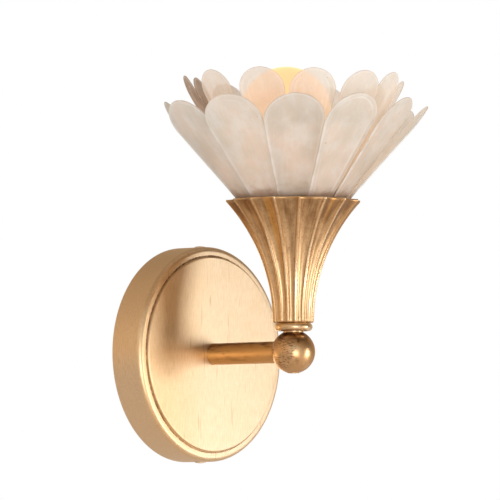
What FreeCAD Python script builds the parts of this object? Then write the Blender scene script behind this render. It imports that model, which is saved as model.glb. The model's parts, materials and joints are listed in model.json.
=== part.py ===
import FreeCAD, Part
import math
import os

import Sketcher
from FreeCAD import Placement, Rotation, Vector

# Wall sconce: a spun canopy, a short arm with a ball, a cast trumpet cup with sixteen flutes,
# two tiers of shell petals on spun cones, and a candelabra lamp.
# The wall is the plane y = 0 and the sconce stands out of it towards -Y. The arm's axis is z = 0.

# Driving dimensions, in millimetres, degrees and counts
SIZES = {
    "canopy_radius": 63.5,
    "canopy_depth": 21.8,
    "canopy_edge": 3,
    "canopy_sheet": 1.2,
    "disc_radius": 57.6,
    "disc_front": 23.4,
    "disc_edge": 0.9,
    "bracket_half": 61.3,
    "bracket_width": 20,
    "bracket_sheet": 1.6,
    "bracket_bend": 1.5,
    "bracket_ear": 18,
    "slot_place": 39.7,
    "slot_span": 14.2,
    "slot_half": 2.3,
    "nipple_hole_slack": 0.2,
    "earth_place": 15,
    "earth_flange": 4.3,
    "earth_flange_thick": 0.8,
    "earth_head": 3.4,
    "earth_rise": 3,
    "side_screw_depth": 12.5,
    "side_screw_radius": 1.9,
    "side_screw_grip": 4,
    "side_hole_slack": 0.2,
    "side_screw_head": 3.2,
    "side_screw_rim": 0.3,
    "side_screw_dome": 0.45,
    "pipe_radius": 5,
    "pipe_bore": 3.4,
    "hole_slack": 0.1,
    "arm_radius": 6.35,
    "arm_reach": 85,
    "ball_radius": 12.7,
    "thread_grip": 6,
    "nipple_in_arm": 9,
    "nipple_behind_nut": 1.5,
    "ball_nipple_in_arm": 8,
    "washer_thick": 0.8,
    "lock_washer_radius": 8.2,
    "neck_radius": 5.85,
    "neck_height": 0.73,
    "ring_radius": 11.2,
    "ring_height": 4.9,
    "nut_flat": 7,
    "nut_height": 3.5,
    "cup_foot": 12.15,
    "cup_mouth": 40.4,
    "cup_height": 71.5,
    "cup_floor": 3,
    "cup_hollow_foot": 9.4,
    "cup_lip": 4.2,
    "cup_washer_radius": 8.8,
    "cup_washer_thick": 1,
    "flute_count": 16,
    "ridge_width": 2.3,
    "flute_foot_depth": 0.9,
    "flute_mouth_depth": 2.6,
    "flute_azimuth": 12.75,
    "flute_cutter_reach": 4,
    "flute_cutter_spread": 1.2,
    "petal_thick": 0.7,
    "petal_gap": 0.5,
    "cone_sheet": 0.6,
    "outer_tip_radius": 76.5,
    "outer_tip_height": 145,
    "outer_lean": 39,
    "outer_roll": 6.3,
    "outer_length": 86,
    "outer_round": 17.8,
    "outer_flare": 9.5,
    "outer_azimuth": 220.6,
    "inner_tip_radius": 64.8,
    "inner_tip_height": 160.6,
    "inner_lean": 29.2,
    "inner_roll": 0,
    "inner_length": 87.5,
    "inner_round": 13.7,
    "inner_flare": 7,
    "inner_azimuth": 201,
    "carrier_floor": 72.5,
    "outer_cone_top": 86.5,
    "inner_cone_top": 95,
    "outer_rivet_up": 5,
    "inner_rivet_up": 5,
    "drill_half": 3,
    "rivet_radius": 1,
    "rivet_head": 2,
    "rivet_dome": 0.7,
    "rivet_slack": 0.4,
    "strap_sheet": 1,
    "strap_width": 12,
    "strap_rise": 10.8,
    "strap_forward": 9.6,
    "pipe_past_nut": 0.8,
    "lamp_lean": 3.3,
    "lamp_lean_towards": 131,
    "holder_radius": 10.2,
    "holder_height": 20,
    "holder_edge": 1.4,
    "holder_floor": 3,
    "holder_shelf": 2,
    "holder_port": 3.4,
    "contact_port": 1.5,
    "shell_bore": 6.2,
    "shell_sheet": 0.5,
    "shell_turn_in": 1.2,
    "shell_below_top": 1,
    "contact_radius": 4,
    "contact_sheet": 0.4,
    "contact_neck": 2.4,
    "contact_button": 1.6,
    "contact_top": 5,
    "cap_radius": 5.85,
    "cap_bottom": 7.4,
    "cap_top": 21,
    "cap_sheet": 0.5,
    "cap_shoulder": 1.6,
    "cap_collar": 0.9,
    "tip_bottom": 5.3,
    "tip_radius": 2,
    "tip_bevel": 0.6,
    "insulator_radius": 2.6,
    "globe_radius": 26.2,
    "globe_height": 56.7,
    "globe_neck": 8,
    "globe_blend": 12,
    "glass_thick": 0.8,
    "glass_in_cap": 4,
    "stem_radius": 2.2,
    "stem_flare": 2,
    "stem_below_globe": 18,
    "filament_radius": 8,
    "filament_feet": 1.5,
    "filament_rise": 14,
    "filament_wire": 0.4,
    "filament_coil": 0.6,
    "lead_radius": 1,
    "lead_aside": 1.3,
    "lead_depth": 9.5,
    "lead_end": 30,
    "lead_into_holder": 0.6,
    "lead_ball_bend": 5,
    "lead_tail_bend": 6,
    "connector_radius": 4.2,
    "connector_skirt": 4,
    "connector_neck": 2.6,
    "connector_taper_end": 15,
    "connector_length": 16.2,
    "connector_end_round": 1.5,
    "connector_end": 1.4,
    "connector_grip": 6,
}

# How far each hand-set petal strays from its tier's lean, about its rivet and from its tier's
# roll, in degrees, going round from the petal that faces the front left
STRAYS = {
    "outer": [
        (0, -0.5, -0.5),
        (-1, -1, -0.5),
        (-0.5, -2, -0.5),
        (2, 1, 1.5),
        (0.5, 1, 0),
        (0.5, -1, 0.5),
        (0, 1, 0.5),
        (1, -0.5, 0),
        (0.5, -1, 0.5),
        (-1, 0.5, 0.5),
        (1.5, 0.5, 0.5),
        (-0.5, 1.5, 0.5),
    ],
    "inner": [
        (-1.5, -1, 3),
        (0, -0.5, -1.5),
        (0.5, 0, -0.5),
        (-1, 1, -5),
        (1.5, -3, 2),
        (1, -1, 0),
        (1, -2, 2),
        (0.5, 0, -2),
        (-0.5, 1, 1),
        (-2.5, 2, 3),
        (0, 1, -2),
        (-1.5, 0.5, -3),
    ],
}
# The heights of the flute cutter's sections, as shares of the cup's height
FLUTE_SECTIONS = (-0.04, 0.2, 0.45, 0.7, 0.88, 1.04)

doc = FreeCAD.newDocument("wall_sconce")
sheet = doc.addObject("Spreadsheet::Sheet", "Sizes")
for row, (name, number) in enumerate(SIZES.items(), start=1):
    sheet.set(f"A{row}", name)
    sheet.set(f"B{row}", str(number))
    sheet.setAlias(f"B{row}", name)
doc.recompute()


class Value:
    """A number together with the sheet expression that gives it."""

    def __init__(self, number, text):
        self.number = number
        self.text = text

    def __add__(self, other):
        other = value(other)
        return Value(self.number + other.number, f"({self.text} + {other.text})")

    def __sub__(self, other):
        other = value(other)
        return Value(self.number - other.number, f"({self.text} - {other.text})")

    def __mul__(self, other):
        other = value(other)
        return Value(self.number * other.number, f"({self.text} * {other.text})")

    def __truediv__(self, other):
        other = value(other)
        return Value(self.number / other.number, f"({self.text} / {other.text})")

    def __neg__(self):
        return Value(-self.number, f"(0 - {self.text})")


def value(given):
    """A Value from a Value or a plain number."""
    return given if isinstance(given, Value) else Value(float(given), str(given))


def size(name):
    """The driving dimension of that name."""
    return Value(float(SIZES[name]), f"Sizes.{name}")


def root(square):
    return Value(math.sqrt(square.number), f"sqrt({square.text})")


def sine(angle):
    return Value(math.sin(math.radians(angle.number)), f"sin({angle.text})")


def cosine(angle):
    return Value(math.cos(math.radians(angle.number)), f"cos({angle.text})")


def tangent(angle):
    return Value(math.tan(math.radians(angle.number)), f"tan({angle.text})")


def new_body(label):
    body = doc.addObject("PartDesign::Body", label)
    body.Label = label
    return body


def new_sketch(body, role, name):
    """A sketch on the body's own origin plane of that role."""
    sketch = body.newObject("Sketcher::SketchObject", f"{body.Name}_{name}")
    plane = next(item for item in body.Origin.OriginFeatures if item.Role == role)
    sketch.AttachmentSupport = (plane, [""])
    sketch.MapMode = "FlatFace"
    return sketch


def offset_sketch(sketch, out):
    """Moves a sketch off its plane by a bound distance."""
    sketch.AttachmentOffset = Placement(Vector(0, 0, out.number), Rotation())
    sketch.setExpression("AttachmentOffset.Base.z", out.text)


def draw(sketch, corners):
    """Draws the closed outline through the corners, each held at its bound coordinates.
    A corner's third value is the radius of the arc to the next corner, negative if clockwise."""
    held = []
    starts = []
    ends = []
    for corner, ahead in zip(corners, corners[1:] + corners[:1]):
        here = Vector(value(corner[0]).number, value(corner[1]).number, 0)
        there = Vector(value(ahead[0]).number, value(ahead[1]).number, 0)
        if len(corner) == 2:
            index = sketch.addGeometry(Part.LineSegment(here, there))
            order = (1, 2)
        else:
            bend = value(corner[2])
            radius = Value(abs(bend.number), f"abs({bend.text})")
            arc = arc_between(here, there, bend.number)
            index = sketch.addGeometry(arc)
            order = (1, 2) if bend.number > 0 else (2, 1)
            held.append((Sketcher.Constraint("Radius", index, radius.number), radius.text))
        starts.append((index, order[0]))
        ends.append((index, order[1]))
    for corner, start in zip(corners, starts):
        held += hold_point(start, value(corner[0]), value(corner[1]))
    for end, start in zip(ends, starts[1:] + starts[:1]):
        held.append((Sketcher.Constraint("Coincident", *end, *start), None))
    bind_constraints(sketch, held)


def arc_between(here, there, bend):
    """The shorter arc of radius |bend| from here to there, clockwise if bend is negative."""
    chord = there - here
    left = Vector(-chord.y, chord.x, 0).normalize()
    rise = math.sqrt(max(bend * bend - chord.Length**2 / 4, 0))
    centre = (here + there) * 0.5 + left * math.copysign(rise, bend)
    first, last = (here, there) if bend > 0 else (there, here)
    turn = [math.atan2(point.y - centre.y, point.x - centre.x) for point in (first, last)]
    if turn[1] < turn[0]:
        turn[1] += 2 * math.pi
    return Part.ArcOfCircle(Part.Circle(centre, Vector(0, 0, 1), abs(bend)), *turn)


def hold_point(point, x, y):
    """The constraints, each with its expression, that hold a drawn point at x, y."""
    held = []
    for kind, part, axis in (("DistanceX", x, -2), ("DistanceY", y, -1)):
        if part.number == 0:
            held.append((Sketcher.Constraint("PointOnObject", *point, axis), None))
        else:
            held.append((Sketcher.Constraint(kind, -1, 1, *point, part.number), part.text))
    return held


def bind_constraints(sketch, held):
    first = sketch.ConstraintCount
    sketch.addConstraint([constraint for constraint, _ in held])
    for index, (_, text) in enumerate(held, start=first):
        if text:
            sketch.setExpression(f"Constraints[{index}]", text)


def draw_circle(sketch, x, y, radius):
    circle = Part.Circle(Vector(value(x).number, value(y).number, 0), Vector(0, 0, 1), radius.number)
    index = sketch.addGeometry(circle)
    held = [(Sketcher.Constraint("Radius", index, radius.number), radius.text)]
    bind_constraints(sketch, held + hold_point((index, 3), value(x), value(y)))


def draw_slot(sketch, x, y, half_span, half_width):
    """A slot along the sketch's y axis with round ends, each end as two quarter arcs."""
    x, y = value(x), value(y)
    inner = half_span - half_width
    draw(
        sketch,
        [
            (x + half_width, y - inner),
            (x + half_width, y + inner, half_width),
            (x, y + half_span, half_width),
            (x - half_width, y + inner),
            (x - half_width, y - inner, half_width),
            (x, y - half_span, half_width),
        ],
    )


def revolve(body, sketch):
    """A full turn about the sketch's vertical axis."""
    feature = body.newObject("PartDesign::Revolution", f"{sketch.Name}_turn")
    feature.Profile = sketch
    feature.ReferenceAxis = (sketch, ["V_Axis"])
    feature.Angle = 360
    return feature


def pad(body, sketch, length):
    """The sketch thickened evenly about its plane."""
    feature = body.newObject("PartDesign::Pad", f"{sketch.Name}_pad")
    feature.Profile = sketch
    feature.SideType = "Symmetric"
    feature.Length = length.number
    feature.setExpression("Length", length.text)
    return feature


def cut_through(body, sketch):
    """The sketch cut right through the body, both ways from its plane."""
    feature = body.newObject("PartDesign::Pocket", f"{sketch.Name}_cut")
    feature.Profile = sketch
    feature.SideType = "Symmetric"
    feature.Type = "ThroughAll"
    return feature


def turn_about(body, feature, count, label):
    """The feature repeated round the body's Z axis."""
    pattern = body.newObject("PartDesign::PolarPattern", label)
    pattern.Originals = [feature]
    axis = next(item for item in body.Origin.OriginFeatures if item.Role == "Z_Axis")
    pattern.Axis = (axis, [""])
    pattern.Angle = 360
    pattern.Occurrences = int(count.number)
    pattern.setExpression("Occurrences", count.text)
    body.Tip = pattern
    return pattern


def place(piece, base=(0, 0, 0), axis=(0, 0, 1), angle=0):
    """Places a piece, with its position and angle bound."""
    base = [value(part) for part in base]
    angle = value(angle)
    numbers = Vector(*(part.number for part in base))
    piece.Placement = Placement(numbers, Rotation(Vector(*axis), angle.number))
    for letter, part in zip("xyz", base):
        piece.setExpression(f"Placement.Base.{letter}", part.text)
    if angle.number:
        piece.setExpression("Placement.Rotation.Angle", angle.text)
    return piece


def on_wall(piece):
    """Lays a piece out from the wall: its z runs out along the arm and its y upward."""
    return place(piece, axis=(1, 0, 0), angle=90)


def on_cup_axis(piece, azimuth=0):
    return place(piece, base=(0, -size("arm_reach"), 0), angle=azimuth)


def turned(label, corners, spot):
    """A piece turned from one profile, radius by height, and placed by spot."""
    body = new_body(label)
    sketch = new_sketch(body, "XZ_Plane", "profile")
    draw(sketch, corners)
    revolve(body, sketch)
    return spot(body)


def ring(label, bore, outside, bottom, top, spot):
    corners = [(bore, bottom), (outside, bottom), (outside, top), (bore, top)]
    return turned(label, corners, spot)


def hex_nut(label, bottom, spot):
    """A plain hexagon nut on the threaded pipe."""
    body = new_body(label)
    sketch = new_sketch(body, "XY_Plane", "profile")
    half_height = size("nut_height") / 2
    offset_sketch(sketch, bottom + half_height)
    point = size("nut_flat") / cosine(value(30))
    corners = [(point * cosine(value(60 * k)), point * sine(value(60 * k))) for k in range(6)]
    draw(sketch, corners)
    draw_circle(sketch, 0, 0, size("pipe_radius"))
    pad(body, sketch, size("nut_height"))
    return spot(body)


def copies(label, pattern, places):
    """One node that groups copies of a piece."""
    links = []
    for number, where in enumerate(places, start=1):
        link = doc.addObject("App::Link", f"{label}_{number}")
        link.LinkedObject = pattern
        link.Placement = where
        links.append(link)
    group = doc.addObject("Part::Compound", label)
    group.Label = label
    group.Links = links
    return group


# Heights and distances that follow from the driving dimensions

in_degrees = value(180) / Value(math.pi, "pi")
disc_back = size("disc_front") - size("canopy_sheet")
pipe_hole = size("pipe_radius") + size("hole_slack")
ball_side = root(size("ball_radius") * size("ball_radius") - size("arm_radius") * size("arm_radius"))
ball_top = root(size("ball_radius") * size("ball_radius") - size("neck_radius") * size("neck_radius"))
ring_bottom = ball_top + size("neck_height")
cup_bottom = ring_bottom + size("ring_height")
cup_top = cup_bottom + size("cup_height")
cup_inside = cup_bottom + size("cup_floor")
cup_rise = size("cup_mouth") - size("cup_foot")
# The arc that leaves the foot upright and reaches the mouth
cup_arc = (cup_rise * cup_rise + size("cup_height") * size("cup_height")) / (cup_rise * 2)
floor = size("carrier_floor")
strap_bottom = floor + size("cone_sheet") * 2
strap_top = strap_bottom + size("strap_sheet")
stem_top = size("globe_height") - size("stem_below_globe")
pipe_top = strap_top + size("nut_height") + size("pipe_past_nut")
arm_end = size("arm_reach") - ball_side


def mounting_bracket():
    """A bent steel strap: slots for the wall box's screws, ears for the canopy's side screws."""
    body = new_body("mounting_bracket")
    thick = size("bracket_sheet")
    half = size("bracket_half")
    ear = size("bracket_ear")
    outer = size("bracket_bend") + thick
    profile = new_sketch(body, "YZ_Plane", "profile")
    draw(
        profile,
        [
            (-(half - outer), 0),
            (half - outer, 0, outer),
            (half, outer),
            (half, ear),
            (half - thick, ear),
            (half - thick, outer, -size("bracket_bend")),
            (half - outer, thick),
            (-(half - outer), thick, -size("bracket_bend")),
            (-(half - thick), outer),
            (-(half - thick), ear),
            (-half, ear),
            (-half, outer, outer),
        ],
    )
    pad(body, profile, size("bracket_width"))
    holes = new_sketch(body, "XY_Plane", "holes")
    half_span = size("slot_span") / 2
    draw_slot(holes, 0, size("slot_place"), half_span, size("slot_half"))
    draw_slot(holes, 0, -size("slot_place"), half_span, size("slot_half"))
    draw_circle(holes, 0, 0, size("pipe_radius") + size("nipple_hole_slack"))
    draw_circle(holes, 0, size("earth_place"), size("side_screw_radius"))
    cut_through(body, holes)
    ears = new_sketch(body, "XZ_Plane", "ear_holes")
    draw_circle(ears, 0, size("side_screw_depth"), size("side_screw_radius"))
    cut_through(body, ears)
    return on_wall(body)


def ground_screw():
    """A flanged screw on the strap, its shank in the strap's threaded hole."""
    thick = size("bracket_sheet")
    shank = size("side_screw_radius")
    flange_top = thick + size("earth_flange_thick")
    top = thick + size("earth_rise")
    corners = [
        (0, 0),
        (shank, 0),
        (shank, thick),
        (size("earth_flange"), thick),
        (size("earth_flange"), flange_top),
        (size("earth_head"), flange_top),
        (size("earth_head"), top),
        (0, top),
    ]
    spot = lambda body: place(body, (0, 0, size("earth_place")), (1, 0, 0), 90)
    return turned("ground_screw", corners, spot)


def canopy():
    """A spun dish with a rounded edge, a flat rim band and a raised front disc."""
    body = new_body("canopy")
    radius = size("canopy_radius")
    depth = size("canopy_depth")
    edge = size("canopy_edge")
    thick = size("canopy_sheet")
    disc = size("disc_radius")
    front = size("disc_front")
    profile = new_sketch(body, "XZ_Plane", "profile")
    draw(
        profile,
        [
            (radius, 0),
            (radius, depth - edge, edge),
            (radius - edge, depth),
            (disc, depth),
            (disc, front - size("disc_edge"), size("disc_edge")),
            (disc - size("disc_edge"), front),
            (pipe_hole, front),
            (pipe_hole, disc_back),
            (disc - thick, disc_back),
            (disc - thick, depth - thick),
            (radius - edge, depth - thick, thick - edge),
            (radius - thick, depth - edge),
            (radius - thick, 0),
        ],
    )
    revolve(body, profile)
    holes = new_sketch(body, "XZ_Plane", "side_holes")
    hole = size("side_screw_radius") + size("side_hole_slack")
    draw_circle(holes, 0, size("side_screw_depth"), hole)
    cut_through(body, holes)
    return on_wall(body)


def canopy_screws():
    """Two round-headed screws through the canopy's side wall into the bracket's ears."""
    body = new_body("canopy_screws")
    radius = size("canopy_radius")
    shank = size("side_screw_radius")
    head = size("side_screw_head")
    dome = size("side_screw_dome")
    rim = radius + size("side_screw_rim")
    end = size("bracket_half") - size("side_screw_grip")
    profile = new_sketch(body, "XZ_Plane", "profile")
    draw(
        profile,
        [
            (0, end),
            (shank, end),
            (shank, radius),
            (head, radius),
            (head, rim, (head * head + dome * dome) / (dome * 2)),
            (0, rim + dome),
        ],
    )
    screw = revolve(body, profile)
    pair = body.newObject("PartDesign::Mirrored", "canopy_screws_pair")
    pair.Originals = [screw]
    plane = next(item for item in body.Origin.OriginFeatures if item.Role == "XY_Plane")
    pair.MirrorPlane = (plane, [""])
    body.Tip = pair
    return place(body, (0, -size("side_screw_depth"), 0))


def arm_pieces():
    """The arm with the nipple, washer and nut that hold it to the canopy."""
    pipe = size("pipe_radius")
    bore = size("pipe_bore")
    front = size("disc_front")
    washer_radius = size("lock_washer_radius")
    washer_back = disc_back - size("washer_thick")
    nut_back = washer_back - size("nut_height")
    nipple_back = nut_back - size("nipple_behind_nut")
    nipple_front = front + size("nipple_in_arm")
    ball_nipple_back = arm_end - size("ball_nipple_in_arm")
    return [
        ring("arm_nipple", bore, pipe, nipple_back, nipple_front, on_wall),
        ring("arm_lock_washer", pipe_hole, washer_radius, washer_back, disc_back, on_wall),
        hex_nut("arm_nut", nut_back, on_wall),
        ring("arm_tube", pipe, size("arm_radius"), front, arm_end, on_wall),
        ring("ball_nipple", bore, pipe, ball_nipple_back, arm_end + size("thread_grip"), on_wall),
    ]


def ball():
    """A solid ball with flats for the arm and the neck, threaded and cross-bored."""
    radius = size("ball_radius")
    grip = size("thread_grip")
    sphere = doc.addObject("Part::Sphere", "ball_blank")
    sphere.setExpression("Radius", radius.text)
    tools = []
    for side, flat in (("top", ball_top), ("arm", ball_side)):
        slab = doc.addObject("Part::Box", f"ball_{side}_flat")
        slab.setExpression("Length", (radius * 2).text)
        slab.setExpression("Width", (radius * 2).text)
        slab.setExpression("Height", radius.text)
        thread = doc.addObject("Part::Cylinder", f"ball_{side}_thread")
        thread.setExpression("Radius", size("pipe_radius").text)
        thread.setExpression("Height", (grip + 1).text)
        bore = doc.addObject("Part::Cylinder", f"ball_{side}_bore")
        bore.setExpression("Radius", size("pipe_bore").text)
        bore.setExpression("Height", flat.text)
        if side == "top":
            place(slab, (-radius, -radius, flat))
            place(thread, (0, 0, flat - grip))
            place(bore)
        else:
            place(slab, (-radius, flat, radius), (1, 0, 0), -90)
            place(thread, (0, flat - grip, 0), (1, 0, 0), -90)
            place(bore, axis=(1, 0, 0), angle=-90)
        tools += [slab, thread, bore]
    hollow = doc.addObject("Part::Sphere", "ball_hollow")
    hollow.setExpression("Radius", size("pipe_bore").text)
    removed = doc.addObject("Part::MultiFuse", "ball_removed")
    removed.Shapes = tools + [hollow]
    finished = doc.addObject("Part::Cut", "ball")
    finished.Label = "ball"
    finished.Base = sphere
    finished.Tool = removed
    return on_cup_axis(finished)


def stem_pieces():
    """The threaded pipe with the neck, ring, washers and nuts on it."""
    pipe = size("pipe_radius")
    half = size("ring_height") / 2
    belly = size("ring_radius") - half
    ring_corners = [
        (pipe_hole, ring_bottom),
        (belly, ring_bottom, half),
        (size("ring_radius"), ring_bottom + half, half),
        (belly, cup_bottom),
        (pipe_hole, cup_bottom),
    ]
    washer_radius = size("cup_washer_radius")
    nut_bottom = cup_inside + size("cup_washer_thick")
    carrier_nut_bottom = floor - size("nut_height")
    pipe_bottom = ball_top - size("thread_grip")
    return [
        ring("stem_pipe", size("pipe_bore"), pipe, pipe_bottom, pipe_top, on_cup_axis),
        ring("neck_washer", pipe_hole, size("neck_radius"), ball_top, ring_bottom, on_cup_axis),
        turned("ring_washer", ring_corners, on_cup_axis),
        ring("cup_washer", pipe_hole, washer_radius, cup_inside, nut_bottom, on_cup_axis),
        hex_nut("cup_nut", nut_bottom, on_cup_axis),
        hex_nut("carrier_nut", carrier_nut_bottom, on_cup_axis),
        hex_nut("socket_nut", strap_top, on_cup_axis),
    ]


def flute_section(body, number, height, depth):
    """One section across the flute cutter, a bow as deep as the flute, open to the outside."""
    up = height - cup_bottom
    radius = size("cup_foot") + cup_arc - root(cup_arc * cup_arc - up * up)
    half_ridge = size("ridge_width") / radius / 2 * in_degrees
    half_turn = value(180) / size("flute_count") - half_ridge
    side = radius * cosine(half_turn)
    half = radius * sine(half_turn)
    bow = side - radius + depth
    bend = (half * half + bow * bow) / (bow * 2)
    far = radius + size("flute_cutter_reach")
    wide = half * size("flute_cutter_spread")
    sketch = new_sketch(body, "XY_Plane", f"flute_{number}")
    offset_sketch(sketch, height)
    draw(
        sketch,
        [
            (side, half, bend),
            (side - bow, 0, bend),
            (side, -half),
            (far, -wide),
            (far, wide),
        ],
    )
    return sketch


def fluted_cup():
    """The cast trumpet: one arc outside, hollow inside, sixteen flutes between narrow ridges."""
    body = new_body("fluted_cup")
    mouth = size("cup_mouth")
    hollow_mouth = mouth - size("cup_lip")
    hollow_rise = hollow_mouth - size("cup_hollow_foot")
    hollow_height = cup_top - cup_inside
    hollow_arc = (hollow_rise * hollow_rise + hollow_height * hollow_height) / (hollow_rise * 2)
    profile = new_sketch(body, "XZ_Plane", "profile")
    draw(
        profile,
        [
            (size("cup_foot"), cup_bottom, -cup_arc),
            (mouth, cup_top),
            (hollow_mouth, cup_top, hollow_arc),
            (size("cup_hollow_foot"), cup_inside),
            (pipe_hole, cup_inside),
            (pipe_hole, cup_bottom),
        ],
    )
    revolve(body, profile)
    foot_depth = size("flute_foot_depth")
    deepening = size("flute_mouth_depth") - foot_depth
    sections = []
    for number, part in enumerate(FLUTE_SECTIONS):
        height = cup_bottom + size("cup_height") * part
        depth = foot_depth + deepening * part
        sections.append(flute_section(body, number, height, depth))
    flute = body.newObject("PartDesign::SubtractiveLoft", "flute")
    flute.Profile = sections[0]
    flute.Sections = sections[1:]
    turn_about(body, flute, size("flute_count"), "flutes")
    return on_cup_axis(body, size("flute_azimuth"))


def petal_place(tier, number):
    """Where a petal's rivet hole sits in the middle of its thickness. The petal's own x runs
    across it, its y up it and its z out through it."""
    lean = size(f"{tier}_lean")
    drop = size(f"{tier}_length") - size(f"{tier}_rivet_up")
    radius = size(f"{tier}_tip_radius") - drop * sine(lean)
    height = size(f"{tier}_tip_height") - drop * cosine(lean)
    strays = STRAYS[tier]
    more_lean, turn, more_roll = strays[number]
    about_cup = Rotation(Vector(0, 0, 1), SIZES[f"{tier}_azimuth"] + number * 360 / len(strays))
    leaning = Rotation(Vector(0, 1, 0), lean.number + more_lean)
    upright = Rotation(Vector(0, 1, 0), Vector(0, 0, 1), Vector(1, 0, 0))
    rolled = Rotation(Vector(0, 1, 0), SIZES[f"{tier}_roll"] + more_roll)
    turned_aside = Rotation(Vector(0, 0, 1), turn)
    spot = about_cup.multVec(Vector(radius.number, 0, height.number))
    spot.y -= size("arm_reach").number
    return Placement(spot, about_cup * leaning * upright * rolled * turned_aside)


def petal(label, tier, where):
    """A flat shell petal: a wedge with a round top and a rivet hole near its narrow foot."""
    body = new_body(label)
    length = size(f"{tier}_length")
    round_top = size(f"{tier}_round")
    flare = size(f"{tier}_flare")
    up = size(f"{tier}_rivet_up")
    side = round_top * cosine(flare)
    shoulder = round_top + round_top * sine(flare)
    foot = side - (length - shoulder) * tangent(flare)
    outline = new_sketch(body, "XY_Plane", "outline")
    draw(
        outline,
        [
            (-foot, -up),
            (foot, -up),
            (side, length - up - shoulder, round_top),
            (0, length - up, round_top),
            (-side, length - up - shoulder),
        ],
    )
    draw_circle(outline, 0, 0, size("rivet_radius") + size("hole_slack"))
    pad(body, outline, size("petal_thick"))
    body.Placement = where
    return body


def petal_cone(tier, bottom, rivets):
    """A spun carrier: a flat floor on the pipe, and a conical wall with a hole for each rivet."""
    lean = size(f"{tier}_lean")
    top = size(f"{tier}_cone_top")
    sheet = size("cone_sheet")
    behind = (size("petal_thick") / 2 + size("petal_gap") + sheet / 2) / cosine(lean)
    radial = sheet / 2 / cosine(lean)

    def middle(height):
        fall = size(f"{tier}_tip_height") - height
        return size(f"{tier}_tip_radius") - fall * tangent(lean) - behind

    floor_top = bottom + sheet
    corners = [
        (pipe_hole, bottom),
        (middle(bottom) + radial, bottom),
        (middle(top) + radial, top),
        (middle(top) - radial, top),
        (middle(floor_top) - radial, floor_top),
        (pipe_hole, floor_top),
    ]
    blank = turned(f"{tier}_cone_blank", corners, on_cup_axis)
    drill = doc.addObject("Part::Cylinder", f"{tier}_drill")
    drill.setExpression("Radius", (size("rivet_radius") + size("hole_slack")).text)
    drill.setExpression("Height", (size("drill_half") * 2).text)
    back = Placement(Vector(0, 0, -size("drill_half").number), Rotation())
    starts = [where.multiply(back) for where in rivets]
    holed = doc.addObject("Part::Cut", f"{tier}_petal_cone")
    holed.Label = f"{tier}_petal_cone"
    holed.Base = blank
    holed.Tool = copies(f"{tier}_drills", drill, starts)
    return holed


def rivet_pattern():
    """One rivet: a low domed head on the flat petal, a shank across the gap, and a head that
    clears the hollow side of the cone."""
    front = size("petal_thick") / 2
    back = -(front + size("petal_gap") + size("cone_sheet") + size("rivet_slack"))
    shank = size("rivet_radius")
    head = size("rivet_head")
    dome = size("rivet_dome")
    bend = (head * head + dome * dome) / (dome * 2)
    corners = [
        (0, back - dome, bend),
        (head, back),
        (shank, back),
        (shank, front),
        (head, front, bend),
        (0, front + dome),
    ]
    return turned("rivet", corners, lambda body: body)


def lamp_axis_place(body):
    """Sits a piece on the socket strap's shelf, leaning with it."""
    lean = size("lamp_lean")
    towards = size("lamp_lean_towards")
    out = size("strap_width") * cosine(lean) - size("strap_width") + size("strap_rise") * sine(lean)
    up = size("strap_rise") * cosine(lean) - size("strap_width") * sine(lean)
    base = (
        out * cosine(towards),
        out * sine(towards) - size("arm_reach"),
        strap_bottom + up,
    )
    axis = (-sine(towards).number, cosine(towards).number, 0)
    return place(body, base, axis, lean)


def socket_bracket():
    """A bent strap: a flat foot on the pipe, a leaning leg, and a shelf under the lampholder."""
    body = new_body("socket_bracket")
    lean = size("lamp_lean")
    reach = size("strap_width")
    thick = size("strap_sheet")
    rise = size("strap_rise")
    forward = size("strap_forward")

    def leaning(x, z):
        """A point of the leg or shelf, turned by the lean about the strap's lower corner."""
        out = (x + reach) * cosine(lean) + z * sine(lean) - reach
        up = z * cosine(lean) - (x + reach) * sine(lean)
        return (out, strap_bottom + up)

    profile = new_sketch(body, "XZ_Plane", "profile")
    draw(
        profile,
        [
            (-reach, strap_bottom),
            (forward, strap_bottom),
            (forward, strap_top),
            (-reach + thick, strap_top),
            leaning(-reach + thick, rise - thick),
            leaning(forward, rise - thick),
            leaning(forward, rise),
            leaning(-reach, rise),
        ],
    )
    pad(body, profile, size("strap_width"))
    holes = new_sketch(body, "XY_Plane", "holes")
    draw_circle(holes, 0, 0, pipe_hole)
    cut_through(body, holes)
    return on_cup_axis(body, size("lamp_lean_towards"))


def lampholder_pieces():
    """A moulded body with a lined screw shell and a sprung centre contact."""
    outside = size("holder_radius")
    top = size("holder_height")
    edge = size("holder_edge")
    floor_top = size("holder_floor")
    shelf = size("holder_shelf")
    bore = size("shell_bore")
    sheet = size("shell_sheet")
    lining = bore + sheet
    body_corners = [
        (size("holder_port"), 0),
        (outside, 0),
        (outside, top - edge, edge),
        (outside - edge, top),
        (lining, top),
        (lining, floor_top),
        (size("contact_port"), floor_top),
        (size("contact_port"), shelf),
        (size("holder_port"), shelf),
    ]
    turned_in = bore - size("shell_turn_in")
    shell_top = top - size("shell_below_top")
    shell_corners = [
        (turned_in, floor_top),
        (lining, floor_top),
        (lining, shell_top),
        (bore, shell_top),
        (bore, floor_top + sheet),
        (turned_in, floor_top + sheet),
    ]
    plate_top = floor_top + size("contact_sheet")
    contact_corners = [
        (0, floor_top),
        (size("contact_radius"), floor_top),
        (size("contact_radius"), plate_top),
        (size("contact_neck"), plate_top + size("contact_sheet") / 2),
        (size("contact_button"), size("contact_top")),
        (0, size("contact_top")),
    ]
    return [
        turned("lampholder_body", body_corners, lamp_axis_place),
        turned("screw_shell", shell_corners, lamp_axis_place),
        turned("centre_contact", contact_corners, lamp_axis_place),
    ]


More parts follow.
